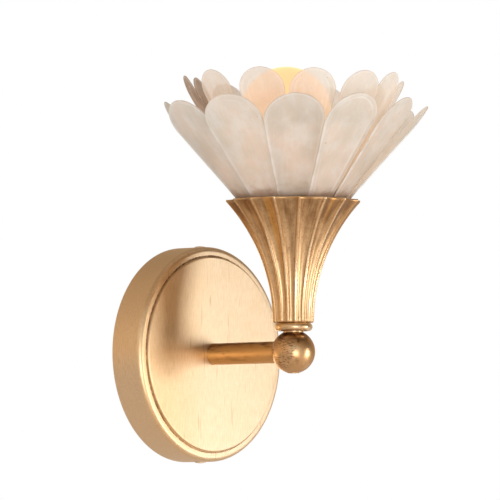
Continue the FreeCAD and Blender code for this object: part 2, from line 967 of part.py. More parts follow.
def globe_joint(radius_change):
    """Where the globe meets the blend into its neck, on a surface that far outside the globe."""
    globe = size("globe_radius") + radius_change
    blend = size("globe_blend") - radius_change
    across = size("globe_neck") + size("globe_blend")
    drop = root((globe + blend) * (globe + blend) - across * across)
    share = globe / (globe + blend)
    return (across * share, size("globe_height") - drop * share, size("globe_height") - drop)


def bulb_pieces():
    """A globe lamp: glass, screw cap, insulator with its contact, stem and filament."""
    globe = size("globe_radius")
    thick = size("glass_thick")
    height = size("globe_height")
    blend = size("globe_blend")
    neck = size("globe_neck")
    seat = size("cap_radius") - size("cap_sheet")
    cap_top = size("cap_top")
    glass_bottom = cap_top - size("glass_in_cap")
    join = globe_joint(value(0))
    inner = globe_joint(-thick)
    glass_corners = [
        (seat, glass_bottom),
        (seat, cap_top),
        (neck, join[2], -blend),
        (join[0], join[1], globe),
        (globe, height, globe),
        (0, height + globe),
        (0, height + globe - thick, thick - globe),
        (globe - thick, height, thick - globe),
        (inner[0], inner[1], blend + thick),
        (neck - thick, inner[2]),
        (seat - thick, cap_top + size("cap_sheet")),
        (seat - thick, glass_bottom),
    ]
    cap = size("cap_radius")
    bottom = size("cap_bottom")
    shoulder = size("cap_shoulder")
    bevel = size("tip_bevel")
    collar = cap + size("cap_collar")
    cap_corners = [
        (cap - shoulder, bottom),
        (cap - shoulder / 4, bottom + shoulder / 2),
        (cap, bottom + shoulder),
        (cap, cap_top - shoulder),
        (collar, cap_top - shoulder / 4),
        (collar, cap_top),
        (seat, cap_top),
        (seat, bottom + shoulder),
        (cap - shoulder, bottom + bevel),
    ]
    tip = size("tip_bottom")
    insulator_corners = [
        (0, tip + bevel),
        (size("insulator_radius"), tip + bevel),
        (cap - shoulder, bottom),
        (cap - shoulder, bottom + bevel),
        (0, bottom + bevel),
    ]
    contact_corners = [
        (0, tip),
        (size("tip_radius") - bevel, tip),
        (size("tip_radius"), tip + bevel * 2 / 3),
        (size("tip_radius"), tip + bevel),
        (0, tip + bevel),
    ]
    stem = size("stem_radius")
    flare_bottom = cap_top - size("stem_flare")
    stem_corners = [
        (0, flare_bottom),
        (seat - thick, flare_bottom),
        (seat - thick, cap_top - size("stem_flare") / 2),
        (stem, cap_top + size("stem_flare") * 1.5),
        (stem, stem_top),
        (0, stem_top),
    ]
    return [
        turned("bulb_glass", glass_corners, lamp_axis_place),
        turned("bulb_cap", cap_corners, lamp_axis_place),
        turned("bulb_insulator", insulator_corners, lamp_axis_place),
        turned("bulb_contact", contact_corners, lamp_axis_place),
        turned("bulb_stem", stem_corners, lamp_axis_place),
    ]


def filament():
    """A half ring of coiled wire on two straight supports that leave the top of the stem."""
    spread = size("filament_radius")
    feet = size("filament_feet")
    rise = size("filament_rise")
    across = (spread - feet).number
    slope = math.degrees(math.atan2(across, rise.number))
    supports = []
    for side, name in ((-1, "left"), (1, "right")):
        support = doc.addObject("Part::Cylinder", f"filament_support_{name}")
        support.setExpression("Radius", size("filament_wire").text)
        support.Height = math.hypot(across, rise.number)
        supports.append(place(support, (feet * side, 0, stem_top), (0, 1, 0), side * slope))
    arch = doc.addObject("Part::Torus", "filament_arch")
    arch.setExpression("Radius1", spread.text)
    arch.setExpression("Radius2", size("filament_coil").text)
    arch.Angle3 = 180
    place(arch, (0, 0, stem_top + rise), (1, 0, 0), 90)
    whole = doc.addObject("Part::MultiFuse", "filament")
    whole.Label = "filament"
    whole.Shapes = supports + [arch]
    return lamp_axis_place(whole)


def lead(label, way):
    """An insulated lead from the lampholder down the pipe, along the arm, then up or down
    in the canopy as way is 1 or -1: three straight runs joined by two quarter bends."""
    bend = size("lead_ball_bend")
    turn = size("lead_tail_bend")
    reach = size("arm_reach")
    depth = size("lead_depth")
    aside = -size("lead_aside") * way
    top = strap_bottom + size("strap_rise") + size("lead_into_holder")
    tail_turn = 90 - 90 * way
    runs = {
        "stem": ((aside, -reach, bend), 0, top - bend),
        "arm": ((aside, -(depth + turn), 0), 90, reach - bend - depth - turn),
        "tail": ((aside, -depth, turn * way), tail_turn, size("lead_end") - turn),
    }
    pieces = []
    for name, (base, angle, length) in runs.items():
        run = doc.addObject("Part::Cylinder", f"{label}_{name}")
        run.setExpression("Radius", size("lead_radius").text)
        run.setExpression("Height", length.text)
        pieces.append(place(run, base, (1, 0, 0), angle))
    down, out, across = Vector(0, 0, -1), Vector(0, -1, 0), Vector(1, 0, 0)
    into_arm = Rotation(out, down, across)
    into_tail = Rotation(down * way, -out, across * way)
    bends = {
        "ball_bend": ((aside, bend - reach, bend), bend, into_arm),
        "tail_bend": ((aside, -(depth + turn), turn * way), turn, into_tail),
    }
    for name, (base, radius, way_round) in bends.items():
        quarter = doc.addObject("Part::Torus", f"{label}_{name}")
        quarter.setExpression("Radius1", radius.text)
        quarter.setExpression("Radius2", size("lead_radius").text)
        quarter.Angle3 = 90
        place(quarter, base)
        quarter.Placement = Placement(quarter.Placement.Base, way_round)
        pieces.append(quarter)
    whole = doc.addObject("Part::MultiFuse", label)
    whole.Label = label
    whole.Shapes = pieces
    return whole


def wire_connectors():
    """Twist-on caps on the two leads' ends, tapered and closed at the far end."""
    radius = size("lead_radius")
    outside = size("connector_radius")
    length = size("connector_length")
    grip = size("connector_grip")
    corners = [
        (radius, 0),
        (outside, 0),
        (outside, size("connector_skirt")),
        (size("connector_neck"), size("connector_taper_end"), size("connector_end_round")),
        (size("connector_end"), length),
        (0, length),
        (0, grip),
        (radius, grip),
    ]
    cap = turned("wire_connector", corners, lambda body: body)
    places = []
    for side in (1, -1):
        height = -side * (size("lead_end") - grip).number
        spot = Vector(size("lead_aside").number * side, -size("lead_depth").number, height)
        places.append(Placement(spot, Rotation(Vector(1, 0, 0), 0 if side < 0 else 180)))
    return copies("wire_connectors", cap, places)


def petal_tiers():
    """Both tiers of petals on their cones, with a rivet for each petal. Each petal's left edge
    lies over its neighbour, because every petal is rolled a little the same way."""
    pieces = []
    pattern = rivet_pattern()
    for tier, bottom in (("outer", floor), ("inner", floor + size("cone_sheet"))):
        places = [petal_place(tier, number) for number in range(len(STRAYS[tier]))]
        for number, where in enumerate(places, start=1):
            pieces.append(petal(f"{tier}_petal_{number:02d}", tier, where))
        pieces.append(petal_cone(tier, bottom, places))
        pieces.append(copies(f"{tier}_rivets", pattern, places))
    return pieces


pieces = [
    mounting_bracket(),
    ground_screw(),
    canopy(),
    canopy_screws(),
    *arm_pieces(),
    ball(),
    *stem_pieces(),
    fluted_cup(),
    *petal_tiers(),
    socket_bracket(),
    *lampholder_pieces(),
    *bulb_pieces(),
    filament(),
    lead("lead_line", -1),
    lead("lead_neutral", 1),
    wire_connectors(),
]
doc.recompute()

faults = [item.Label for item in doc.Objects if {"Invalid", "Error"} & set(item.State)]
for piece in pieces:
    if piece.Shape.isNull() or not piece.Shape.isValid() or not piece.Shape.Solids:
        faults.append(piece.Label)
if faults:
    raise SystemExit(f"these objects failed: {faults}")

os.makedirs("parts", exist_ok=True)
for piece in pieces:
    piece.Shape.exportStep(f"parts/{piece.Label}.step")
    print(piece.Label, len(piece.Shape.Solids), "solids", round(piece.Shape.Volume, 1), "mm3")
print(len(pieces), "nodes")
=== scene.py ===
# %% [markdown]
# # A wall sconce with a fluted cup and two tiers of shell petals
#
# The real sconce is a round brushed canopy on the wall, a short arm with a ball, a cast trumpet
# cup, and twenty-four translucent shell petals round a small globe lamp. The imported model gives
# every piece its size and place, so this lesson only builds finer meshes where the eye needs
# them, and then the finishes. It starts by loading that model and keeping its box.

import json
import math
import random

import bpy
import bmesh
from mathutils import Matrix, Quaternion, Vector, noise


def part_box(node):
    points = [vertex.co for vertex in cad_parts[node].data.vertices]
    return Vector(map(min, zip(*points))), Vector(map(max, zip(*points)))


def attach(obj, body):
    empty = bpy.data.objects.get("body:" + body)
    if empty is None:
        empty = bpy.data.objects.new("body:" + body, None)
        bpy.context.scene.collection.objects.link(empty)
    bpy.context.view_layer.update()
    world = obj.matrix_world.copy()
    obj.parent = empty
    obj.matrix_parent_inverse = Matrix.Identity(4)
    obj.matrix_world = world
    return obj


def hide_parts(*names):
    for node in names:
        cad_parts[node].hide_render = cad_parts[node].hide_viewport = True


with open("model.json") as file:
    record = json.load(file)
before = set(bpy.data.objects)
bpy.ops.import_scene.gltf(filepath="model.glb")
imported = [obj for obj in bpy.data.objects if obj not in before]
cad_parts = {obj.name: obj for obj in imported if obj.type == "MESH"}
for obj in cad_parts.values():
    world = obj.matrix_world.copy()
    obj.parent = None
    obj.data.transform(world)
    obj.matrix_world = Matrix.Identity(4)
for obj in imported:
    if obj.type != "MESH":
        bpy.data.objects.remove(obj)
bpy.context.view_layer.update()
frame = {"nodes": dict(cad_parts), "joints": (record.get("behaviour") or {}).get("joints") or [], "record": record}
MM = 0.001
scene = bpy.context.scene
ARM_REACH = -(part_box("ring_washer")[0].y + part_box("ring_washer")[1].y) / 2 / MM
CUP_AXIS = Matrix.Translation((0, -ARM_REACH * MM, 0))
ON_WALL = Matrix.Rotation(math.radians(90), 4, "X")
print("cup axis", round(ARM_REACH, 2), "mm from the wall")

# %% [markdown]
# ## The camera
#
# The photograph was taken from far away with a long lens, a little below the sconce and well to
# its left. A short lens close by would show the same pieces, but the canopy's ellipse and the
# petals' overlaps would all be different, so the eye point, the aim and the lens are measured.

# %% Set up the camera
EYE = Vector((-2349.8, -2088.3, -108.7)) * MM
AIM = Vector((-0.2, -51.8, 60.6)) * MM
ROLL = math.radians(-0.07)
LENS = 381.5

camera = bpy.data.objects.new("camera", bpy.data.cameras.new("camera"))
camera.data.lens = LENS
camera.data.sensor_width = 36
camera.location = EYE
look = (AIM - EYE).to_track_quat("-Z", "Y") @ Quaternion((0, 0, 1), ROLL)
camera.rotation_euler = look.to_euler()
scene.collection.objects.link(camera)
scene.camera = camera
scene.view_settings.view_transform = "Standard"
print("camera", round((AIM - EYE).length, 3), "m from the sconce")

# %% [markdown]
# ## Helpers for materials
#
# Every finish here is made of nodes. Writing each node and each link by hand takes many lines,
# so a few small helpers add a node with its settings, do arithmetic, spread a value over a new
# range and mix colours. With them a material reads like a short recipe.

# %% Node helpers
def add(tree, kind, links=None, **settings):
    """Adds a node. links maps an input's name or number to a value or to another node's output."""
    node = tree.nodes.new("ShaderNode" + kind)
    for name, setting in settings.items():
        setattr(node, name, setting)
    for socket, source in (links or {}).items():
        if isinstance(source, bpy.types.NodeSocket):
            tree.links.new(source, node.inputs[socket])
        else:
            node.inputs[socket].default_value = source
    return node


def maths(tree, operation, *values):
    """The result of arithmetic on sockets or numbers."""
    return add(tree, "Math", dict(enumerate(values)), operation=operation).outputs[0]


def product(tree, first, *others):
    """The product of sockets and numbers."""
    for other in others:
        first = maths(tree, "MULTIPLY", first, other)
    return first


def swing(tree, value, share, middle):
    """value's swing about a half, made share times as wide and moved to a new middle."""
    return maths(tree, "MULTIPLY_ADD", maths(tree, "SUBTRACT", value, 0.5), share, middle)


def spread(tree, value, low, high, to_low=0.0, to_high=1.0):
    """value brought from the range low..high to to_low..to_high, smoothly and clamped."""
    links = {"Value": value, "From Min": low, "From Max": high, "To Min": to_low, "To Max": to_high}
    return add(tree, "MapRange", links, interpolation_type="SMOOTHSTEP").outputs[0]


def split(tree, vector):
    """The three parts of a vector."""
    return add(tree, "SeparateXYZ", {0: vector}).outputs


def stretched(tree, vector, scale):
    """vector scaled unevenly, so that a texture read through it is drawn out."""
    return add(tree, "Mapping", {"Vector": vector, "Scale": scale}).outputs[0]


def noisy(tree, vector, scale, detail=3.0, roughness=0.55):
    """A grey noise from 0 to 1 with that many features per unit of the vector."""
    links = {"Vector": vector, "Scale": scale, "Detail": detail, "Roughness": roughness}
    return add(tree, "TexNoise", links).outputs[0]


def rgb(red, green, blue):
    """An opaque colour."""
    return (red, green, blue, 1.0)


def blend_colours(tree, factor, first, second, way="MIX"):
    """The second colour laid over the first by factor."""
    mix = add(tree, "Mix", {0: factor, 6: first, 7: second}, data_type="RGBA", blend_type=way)
    return mix.outputs[2]


def layer(tree, colour, *layers):
    """The colour with tones laid over it one by one, each given as its factor and its tone."""
    for factor, tone in layers:
        colour = blend_colours(tree, factor, colour, rgb(*tone))
    return colour


def bumped(tree, height, strength, reach):
    """The normal of a surface that stands out by height times reach."""
    return add(tree, "Bump", {"Strength": strength, "Distance": reach, "Height": height}).outputs[0]


def stored(tree, name, output="Fac"):
    """A value that the mesh keeps at its points."""
    return add(tree, "Attribute", attribute_name=name).outputs[output]


def object_place(tree):
    """Where a point of the piece is, in metres."""
    return add(tree, "TexCoord").outputs["Object"]


print("node helpers ready")


# %% Groups and materials
def new_group(name, inputs, outputs):
    """An empty shader group with named sockets, and its two end nodes."""
    group = bpy.data.node_groups.new(name, "ShaderNodeTree")
    for side, sockets in (("INPUT", inputs), ("OUTPUT", outputs)):
        for label, kind in sockets.items():
            group.interface.new_socket(label, in_out=side, socket_type="NodeSocket" + kind)
    return group, group.nodes.new("NodeGroupInput").outputs, group.nodes.new("NodeGroupOutput").inputs


def place_group(tree, group, links):
    """The outputs of a group that is placed in this tree with its own values."""
    return add(tree, "Group", links, node_tree=group).outputs


def new_material(name):
    """An empty material with its output node."""
    material = bpy.data.materials.new(name)
    material.use_nodes = True
    material.node_tree.nodes.clear()
    return material, material.node_tree, add(material.node_tree, "OutputMaterial")


def coat(tree, end, surface):
    """Puts a principled shader with those values on the material's output."""
    tree.links.new(add(tree, "BsdfPrincipled", surface).outputs[0], end.inputs["Surface"])


print("group and material helpers ready")

# %% [markdown]
# ## Shared effects as node groups
#
# Brushed metal, leafed metal and shell all owe their look to marks that run one way. The first
# group draws them: fine streaks across the vector's X and Y that run along its Z, with slow
# clouds over them. The second turns such marks into a hand-rubbed gilt: dark size in the low
# places, body gold, and bright metal where a cloth has rubbed the high ones.

# %% Group: directional grain
GRAIN, put, get = new_group(
    "Directional grain",
    {"Vector": "Vector", "Lines": "Float", "Draw": "Float", "Clouds": "Float"},
    {"Streaks": "Float", "Cloud": "Float", "Scratches": "Float"},
)
lengthwise = product(GRAIN, put["Lines"], put["Draw"])
drawn = add(GRAIN, "CombineXYZ", {0: put["Lines"], 1: put["Lines"], 2: lengthwise}).outputs[0]
fine = add(GRAIN, "VectorMath", {0: put["Vector"], 1: drawn}, operation="MULTIPLY").outputs[0]
rare = noisy(GRAIN, fine, 0.23, 1.0, 0.4)
GRAIN.links.new(noisy(GRAIN, fine, 1.0, 2.0, 0.6), get["Streaks"])
GRAIN.links.new(noisy(GRAIN, put["Vector"], put["Clouds"], 4.0, 0.6), get["Cloud"])
GRAIN.links.new(spread(GRAIN, rare, 0.68, 0.76), get["Scratches"])
print("group", GRAIN.name, "with", len(GRAIN.nodes), "nodes")


def grained(tree, vector, lines, draw, clouds):
    """The grain's outputs: lines and clouds per unit of the vector, the lines 1 / draw as long."""
    values = {"Vector": vector, "Lines": lines, "Draw": draw, "Clouds": clouds}
    return place_group(tree, GRAIN, values)


# %% Group: hand-rubbed gilt
GILT, put, get = new_group(
    "Hand-rubbed gilt",
    {
        "Low Colour": "Color",
        "Body Colour": "Color",
        "High Colour": "Color",
        "Rise": "Float",
        "Streaks": "Float",
        "Cloud": "Float",
        "Smooth": "Float",
        "Rough": "Float",
    },
    {"Color": "Color", "Roughness": "Float", "Height": "Float"},
)
marks = swing(GILT, put["Cloud"], 1.1, swing(GILT, put["Streaks"], 0.9, put["Rise"]))
sized = blend_colours(GILT, spread(GILT, marks, -0.05, 0.45), put["Low Colour"], put["Body Colour"])
rubbed = spread(GILT, marks, 0.62, 1.12)
gloss = add(GILT, "Mix", {0: rubbed, 2: put["Rough"], 3: put["Smooth"]}).outputs[0]
GILT.links.new(blend_colours(GILT, rubbed, sized, put["High Colour"]), get["Color"])
GILT.links.new(gloss, get["Roughness"])
GILT.links.new(marks, get["Height"])
print("group", GILT.name, "with", len(GILT.nodes), "nodes")


def gilded(tree, colours, rise, streaks, cloud, gloss):
    """The gilt's outputs, from its colours low to high and its roughness rubbed and not."""
    low, body, high = (rgb(*colour) for colour in colours)
    values = {"Low Colour": low, "Body Colour": body, "High Colour": high, "Rise": rise}
    values.update({"Streaks": streaks, "Cloud": cloud, "Smooth": gloss[0], "Rough": gloss[1]})
    return place_group(tree, GILT, values)


# %% [markdown]
# ## Golds
#
# The golds of the sconce are one lacquered metal, finished five ways. The canopy is brushed up and
# down, so its grain follows the world's Z everywhere. Its highlight is drawn out across the grain,
# which is what the anisotropic socket is for. Painted shade makes its colour deeper and warmer to
# the left and darker in its groove. The arm and ball are darker and smeared, with painted shade on
# their tops. The cup is gilt over a dark size, with painted shade towards its lip. All of them are
# fully metallic: the colour is what they reflect, with that painted shade laid into it.

# %% Metal with a bump and an anisotropic highlight
GOLDS = {}


def metal(tree, end, colour, roughness, relief, stretch=0.0, along=None):
    """Coats a piece in metal. relief is the bump's height, strength and reach."""
    surface = {
        "Base Color": colour,
        "Roughness": roughness,
        "Metallic": 1.0,
        "Anisotropic": stretch,
        "Normal": bumped(tree, *relief),
    }
    if along is not None:
        surface["Tangent"] = along
    coat(tree, end, surface)


def keep_gold(maker):
    """Makes a gold and keeps it under its maker's name."""
    GOLDS[maker.__name__] = maker()
    print(maker.__name__, "with", len(GOLDS[maker.__name__].node_tree.nodes), "nodes")


print("metal shader ready")

# %% Canopy: brushed gold with wash in the groove
GROOVE_RADIUS = 0.05815
GROOVE_HALF = 0.00050
# Painted shade: multiplying by this tint makes the disc deeper and warmer to the left
LEFT_SHADE_TINT = rgb(0.96, 0.87, 0.74)


def brushed_gold():
    """Gold brushed up and down, with rare scratches and painted shade on its left side and in its groove."""
    material, tree, end = new_material("brushed_gold")
    here = object_place(tree)
    right, _, up = split(tree, here)
    normal = add(tree, "NewGeometry").outputs["Normal"]
    facing = maths(tree, "ABSOLUTE", split(tree, normal)[1])
    marks = grained(tree, here, 2300.0, 0.085, 45.0)
    cross = grained(tree, stretched(tree, here, (0.07, 1, 1)), 1900.0, 1.0, 14.0)
    streaks = spread(tree, marks["Streaks"], 0.3, 0.7)
    colour = layer(
        tree,
        blend_colours(tree, streaks, rgb(0.72, 0.555, 0.365), rgb(0.83, 0.675, 0.485)),
        (spread(tree, cross["Streaks"], 0.42, 0.75, 0.0, 0.28), (0.70, 0.53, 0.34)),
        (spread(tree, marks["Cloud"], 0.42, 0.72, 0.0, 0.30), (0.74, 0.55, 0.35)),
    )
    # Painted shade towards the left, strongest on the front faces
    leftward = spread(tree, right, -0.044, 0.004, 1.0, 0.0)
    thick = product(tree, leftward, spread(tree, facing, 0.0, 0.6, 0.3, 1.0))
    colour = blend_colours(tree, thick, colour, LEFT_SHADE_TINT, "MULTIPLY")
    flat = add(tree, "CombineXYZ", {0: right, 1: up}).outputs[0]
    radius = add(tree, "VectorMath", {0: flat}, operation="LENGTH").outputs["Value"]
    off_groove = maths(tree, "ABSOLUTE", maths(tree, "SUBTRACT", radius, GROOVE_RADIUS))
    upper_left = maths(tree, "MULTIPLY_ADD", maths(tree, "SUBTRACT", up, right), 11.0, 0.35)
    # Painted shade in the groove round the disc, deepest towards the upper left
    groove_shade = product(
        tree,
        spread(tree, noisy(tree, here, 420.0, 2.0), 0.30, 0.62, 0.25, 1.0),
        spread(tree, upper_left, -0.3, 1.0, 0.28, 1.0),
        spread(tree, off_groove, GROOVE_HALF * 0.55, GROOVE_HALF * 1.25, 1.0, 0.0),
        facing,
    )
    scratches = product(tree, marks["Scratches"], facing, 0.5)
    colour = layer(tree, colour, (scratches, (0.46, 0.28, 0.14)), (groove_shade, (0.15, 0.07, 0.03)))
    roughness = spread(tree, marks["Streaks"], 0.2, 0.8, 0.36, 0.46)
    across = add(tree, "VectorMath", {0: normal, 1: (0, 0, 1)}, operation="CROSS_PRODUCT").outputs[0]
    metal(tree, end, colour, roughness, (marks["Streaks"], 0.12, 0.0001), 0.35, across)
    return material


keep_gold(brushed_gold)

# %% Arm, ball and neck: smeared darker gold
SCRATCHED_WAY = (-0.985, 0.17)


def arm_gold():
    """Darker gold, smeared along the arm's length, with painted shade on top."""
    material, tree, end = new_material("arm_gold")
    here = object_place(tree)
    up = split(tree, here)[2]
    marks = grained(tree, stretched(tree, here, (1, 0.12, 1)), 480.0, 1.0, 150.0)
    colours = (0.20, 0.095, 0.035), (0.62, 0.365, 0.15), (0.94, 0.64, 0.31)
    # Painted shade: the arm is less rubbed, so darker, towards its top
    rise = spread(tree, up, 0.0005, 0.0060, 0.54, 0.26)
    gold = gilded(tree, colours, rise, marks["Streaks"], marks["Cloud"], (0.26, 0.42))
    # Dark smudges strongest on top: partly smear, partly painted shade
    smudge_and_top_shade = noisy(tree, stretched(tree, here, (1, 0.3, 1)), 260.0, 3.0, 0.65)
    top_shade_share = spread(tree, up, -0.002, 0.004, 0.25, 0.75)
    smudge_and_top_shade = product(tree, spread(tree, smudge_and_top_shade, 0.50, 0.66), top_shade_share)
    colour = layer(tree, gold["Color"], (smudge_and_top_shade, (0.13, 0.07, 0.03)))
    metal(tree, end, colour, gold["Roughness"], (gold["Height"], 0.15, 0.0002))
    return material


def ball_gold():
    """The arm's gold with short dark brush scratches round the side that faces left and painted shade on top."""
    material, tree, end = new_material("ball_gold")
    here = object_place(tree)
    right, back, up = split(tree, here)
    unrolled = stored(tree, "place", "Vector")
    marks = grained(tree, stretched(tree, unrolled, (0.22, 0.22, 1)), 1900.0, 1.0, 160.0)
    soft = noisy(tree, here, 110.0, 3.0)
    colours = (0.16, 0.08, 0.03), (0.61, 0.385, 0.195), (0.86, 0.61, 0.35)
    # Painted shade under the ring: less rubbed, so darker, towards the ball's top
    rise = spread(tree, up, 0.0015, 0.0100, 0.58, 0.0)
    gold = gilded(tree, colours, rise, soft, soft, (0.21, 0.34))
    rightward, backward = SCRATCHED_WAY
    side = maths(tree, "MULTIPLY_ADD", back, backward, backward * ARM_REACH * MM)
    side = maths(tree, "MULTIPLY_ADD", right, rightward, side)
    scratched = product(
        tree,
        spread(tree, side, 0.0052, 0.0092),
        spread(tree, side, 0.0116, 0.0126, 1.0, 0.2),
        spread(tree, marks["Streaks"], 0.50, 0.62, 0.0, 0.8),
    )
    colour = layer(tree, gold["Color"], (scratched, (0.11, 0.06, 0.045)))
    metal(tree, end, colour, gold["Roughness"], (marks["Streaks"], 0.08, 0.0001))
    return material


keep_gold(arm_gold)
keep_gold(ball_gold)


# %% Cup and ring: gold leaf over dark size
def antique_gold():
    """Bright ridges, brown flutes, orange runs, a few pits, and painted shade towards the lip."""
    material, tree, end = new_material("antique_gold")
    unrolled, ridge = stored(tree, "place", "Vector"), stored(tree, "ridge")
    marks = grained(tree, unrolled, 620.0, 0.12, 110.0)
    streaks = swing(tree, marks["Streaks"], 0.6, 0.5)
    cloud = swing(tree, marks["Cloud"], 0.5, 0.5)
    # Painted shade: less rubbed, so darker, towards the lip
    under_lip = spread(tree, split(tree, unrolled)[2], 0.036, 0.070, 0.38, 0.12)
    worn = noisy(tree, stretched(tree, unrolled, (1, 1, 0.4)), 75.0, 2.0)
    worn = spread(tree, worn, 0.36, 0.64, 0.30, 0.82)
    rise = maths(tree, "MULTIPLY_ADD", ridge, worn, under_lip)
    colours = (0.27, 0.145, 0.062), (0.665, 0.465, 0.262), (0.93, 0.79, 0.565)
    gold = gilded(tree, colours, rise, streaks, cloud, (0.20, 0.38))
    # A dark orange line next to each ridge: partly red size showing, partly painted shade
    beside = product(
        tree,
        spread(tree, ridge, 0.08, 0.30),
        spread(tree, ridge, 0.45, 0.80, 1.0, 0.0),
        spread(tree, marks["Cloud"], 0.35, 0.60, 0.30, 0.85),
    )
    runs = noisy(tree, stretched(tree, unrolled, (210, 210, 9)), 1.0, 1.0)
    colour = layer(
        tree,
        gold["Color"],
        (beside, (0.40, 0.18, 0.05)),
        (spread(tree, runs, 0.62, 0.69, 0.0, 0.5), (0.80, 0.42, 0.10)),
        (spread(tree, noisy(tree, unrolled, 900.0, 2.0, 0.7), 0.50, 0.70, 0.0, 0.45), (0.33, 0.18, 0.08)),
        (spread(tree, noisy(tree, unrolled, 620.0, 2.0), 0.70, 0.74, 0.0, 0.7), (0.08, 0.05, 0.04)),
    )
    metal(tree, end, colour, gold["Roughness"], (gold["Height"], 0.3, 0.0003))
    return material


keep_gold(antique_gold)


# %% Petal cones: spun and lacquered
def spun_gold():
    """Fine turning lines round the cones."""
    material, tree, end = new_material("spun_gold")
    marks = grained(tree, stretched(tree, object_place(tree), (0.03, 0.03, 1)), 2400.0, 1.0, 60.0)
    colour = blend_colours(tree, marks["Streaks"], rgb(0.52, 0.33, 0.15), rgb(0.74, 0.52, 0.27))
    roughness = spread(tree, marks["Streaks"], 0.2, 0.8, 0.30, 0.45)
    metal(tree, end, colour, roughness, (marks["Streaks"], 0.08, 0.0001))
    return material


keep_gold(spun_gold)

# %% [markdown]
# ## Shell
#
# The petals are ground flat from windowpane shell, under a millimetre thick. It is cream, cloudy
# with pink and grey, with growth lines, tiny brown specks and a thin darker rim, and its left edge,
# which catches the light, gets a painted highlight. It also lets light through: where the lamp is
# behind it the petal glows. A single principled shader can't do that on a thin piece, so a
# translucent shader passes soft light through and a transparent one shows a little of what is right
# behind. Light leaves the far face almost freely, which is why the backfacing output opens that
# side: the shell then scatters light once, as a thin sheet does. Shadow rays pass in part, so no
# petal shades the next one hard.

# %% Group: shell layers
SHELL_LAYERS, put, get = new_group(
    "Shell layers",
    {"Place": "Vector", "Rim": "Float", "Brown": "Float", "Lit Edge": "Float"},
    {"Color": "Color", "Roughness": "Float", "Height": "Float"},
)
tree, place, rim = SHELL_LAYERS, put["Place"], put["Rim"]
cloud = noisy(tree, place, 0.045, 3.0, 0.55)
veil = noisy(tree, stretched(tree, place, (1, 0.6, 1)), 0.10, 3.0, 0.6)
fibres = noisy(tree, stretched(tree, place, (1.1, 0.05, 1)), 1.0, 2.0, 0.5)
across, _, own = split(tree, place)
arcs = {0: product(tree, rim, 0.42), 1: product(tree, across, 0.035), 2: own}
growth = noisy(tree, add(tree, "CombineXYZ", arcs).outputs[0], 1.0, 3.0, 0.6)

cream = spread(tree, cloud, 0.38, 0.62)
browned = product(tree, put["Brown"], spread(tree, cloud, 0.25, 0.65, 1.0, 0.65))
colour = layer(
    tree,
    blend_colours(tree, cream, rgb(0.80, 0.745, 0.655), rgb(0.82, 0.735, 0.655)),
    (spread(tree, veil, 0.42, 0.66, 0.0, 0.80), (0.86, 0.845, 0.80)),
    (browned, (0.24, 0.145, 0.085)),
)
level = swing(tree, fibres, 0.09, swing(tree, cloud, 0.31, 0.99))
colour = add(tree, "VectorMath", {0: colour, "Scale": level}, operation="SCALE").outputs[0]

near_rim = spread(tree, rim, 4.0, 11.0, 1.0, 0.0)
inner_line = maths(tree, "SUBTRACT", spread(tree, rim, 0.3, 0.6), spread(tree, rim, 0.9, 2.0))
uneven = noisy(tree, stretched(tree, place, (0, 1, 1)), 0.09, 1.0)
uneven = spread(tree, uneven, 0.35, 0.62, 0.2, 0.75)
colour = layer(
    tree,
    colour,
    (product(tree, spread(tree, growth, 0.57, 0.70, 0.0, 0.60), near_rim), (0.88, 0.87, 0.83)),
    (spread(tree, noisy(tree, place, 0.62, 2.0), 0.71, 0.76, 0.0, 0.45), (0.42, 0.29, 0.19)),
    (product(tree, inner_line, 0.35), (0.87, 0.83, 0.77)),
    (spread(tree, rim, 0.15, 0.5, 0.30, 0.0), (0.60, 0.48, 0.37)),
    # Painted highlight along each petal's left edge
    (product(tree, put["Lit Edge"], uneven), (0.94, 0.96, 0.95)),
)
rise = maths(tree, "MULTIPLY_ADD", growth, near_rim, product(tree, fibres, 0.6))
tree.links.new(colour, get["Color"])
tree.links.new(spread(tree, growth, 0.2, 0.8, 0.26, 0.40), get["Roughness"])
tree.links.new(maths(tree, "MULTIPLY_ADD", veil, 2.0, rise), get["Height"])
print("group", tree.name, "with", len(tree.nodes), "nodes")

# %% The shell's material
SHELL_THROUGH = 0.42
SHELL_CLEAR = {"outer": 0.06, "inner": 0.24}
FAR_FACE_CLEAR = 0.9
SHADOW_CLEAR = 0.14


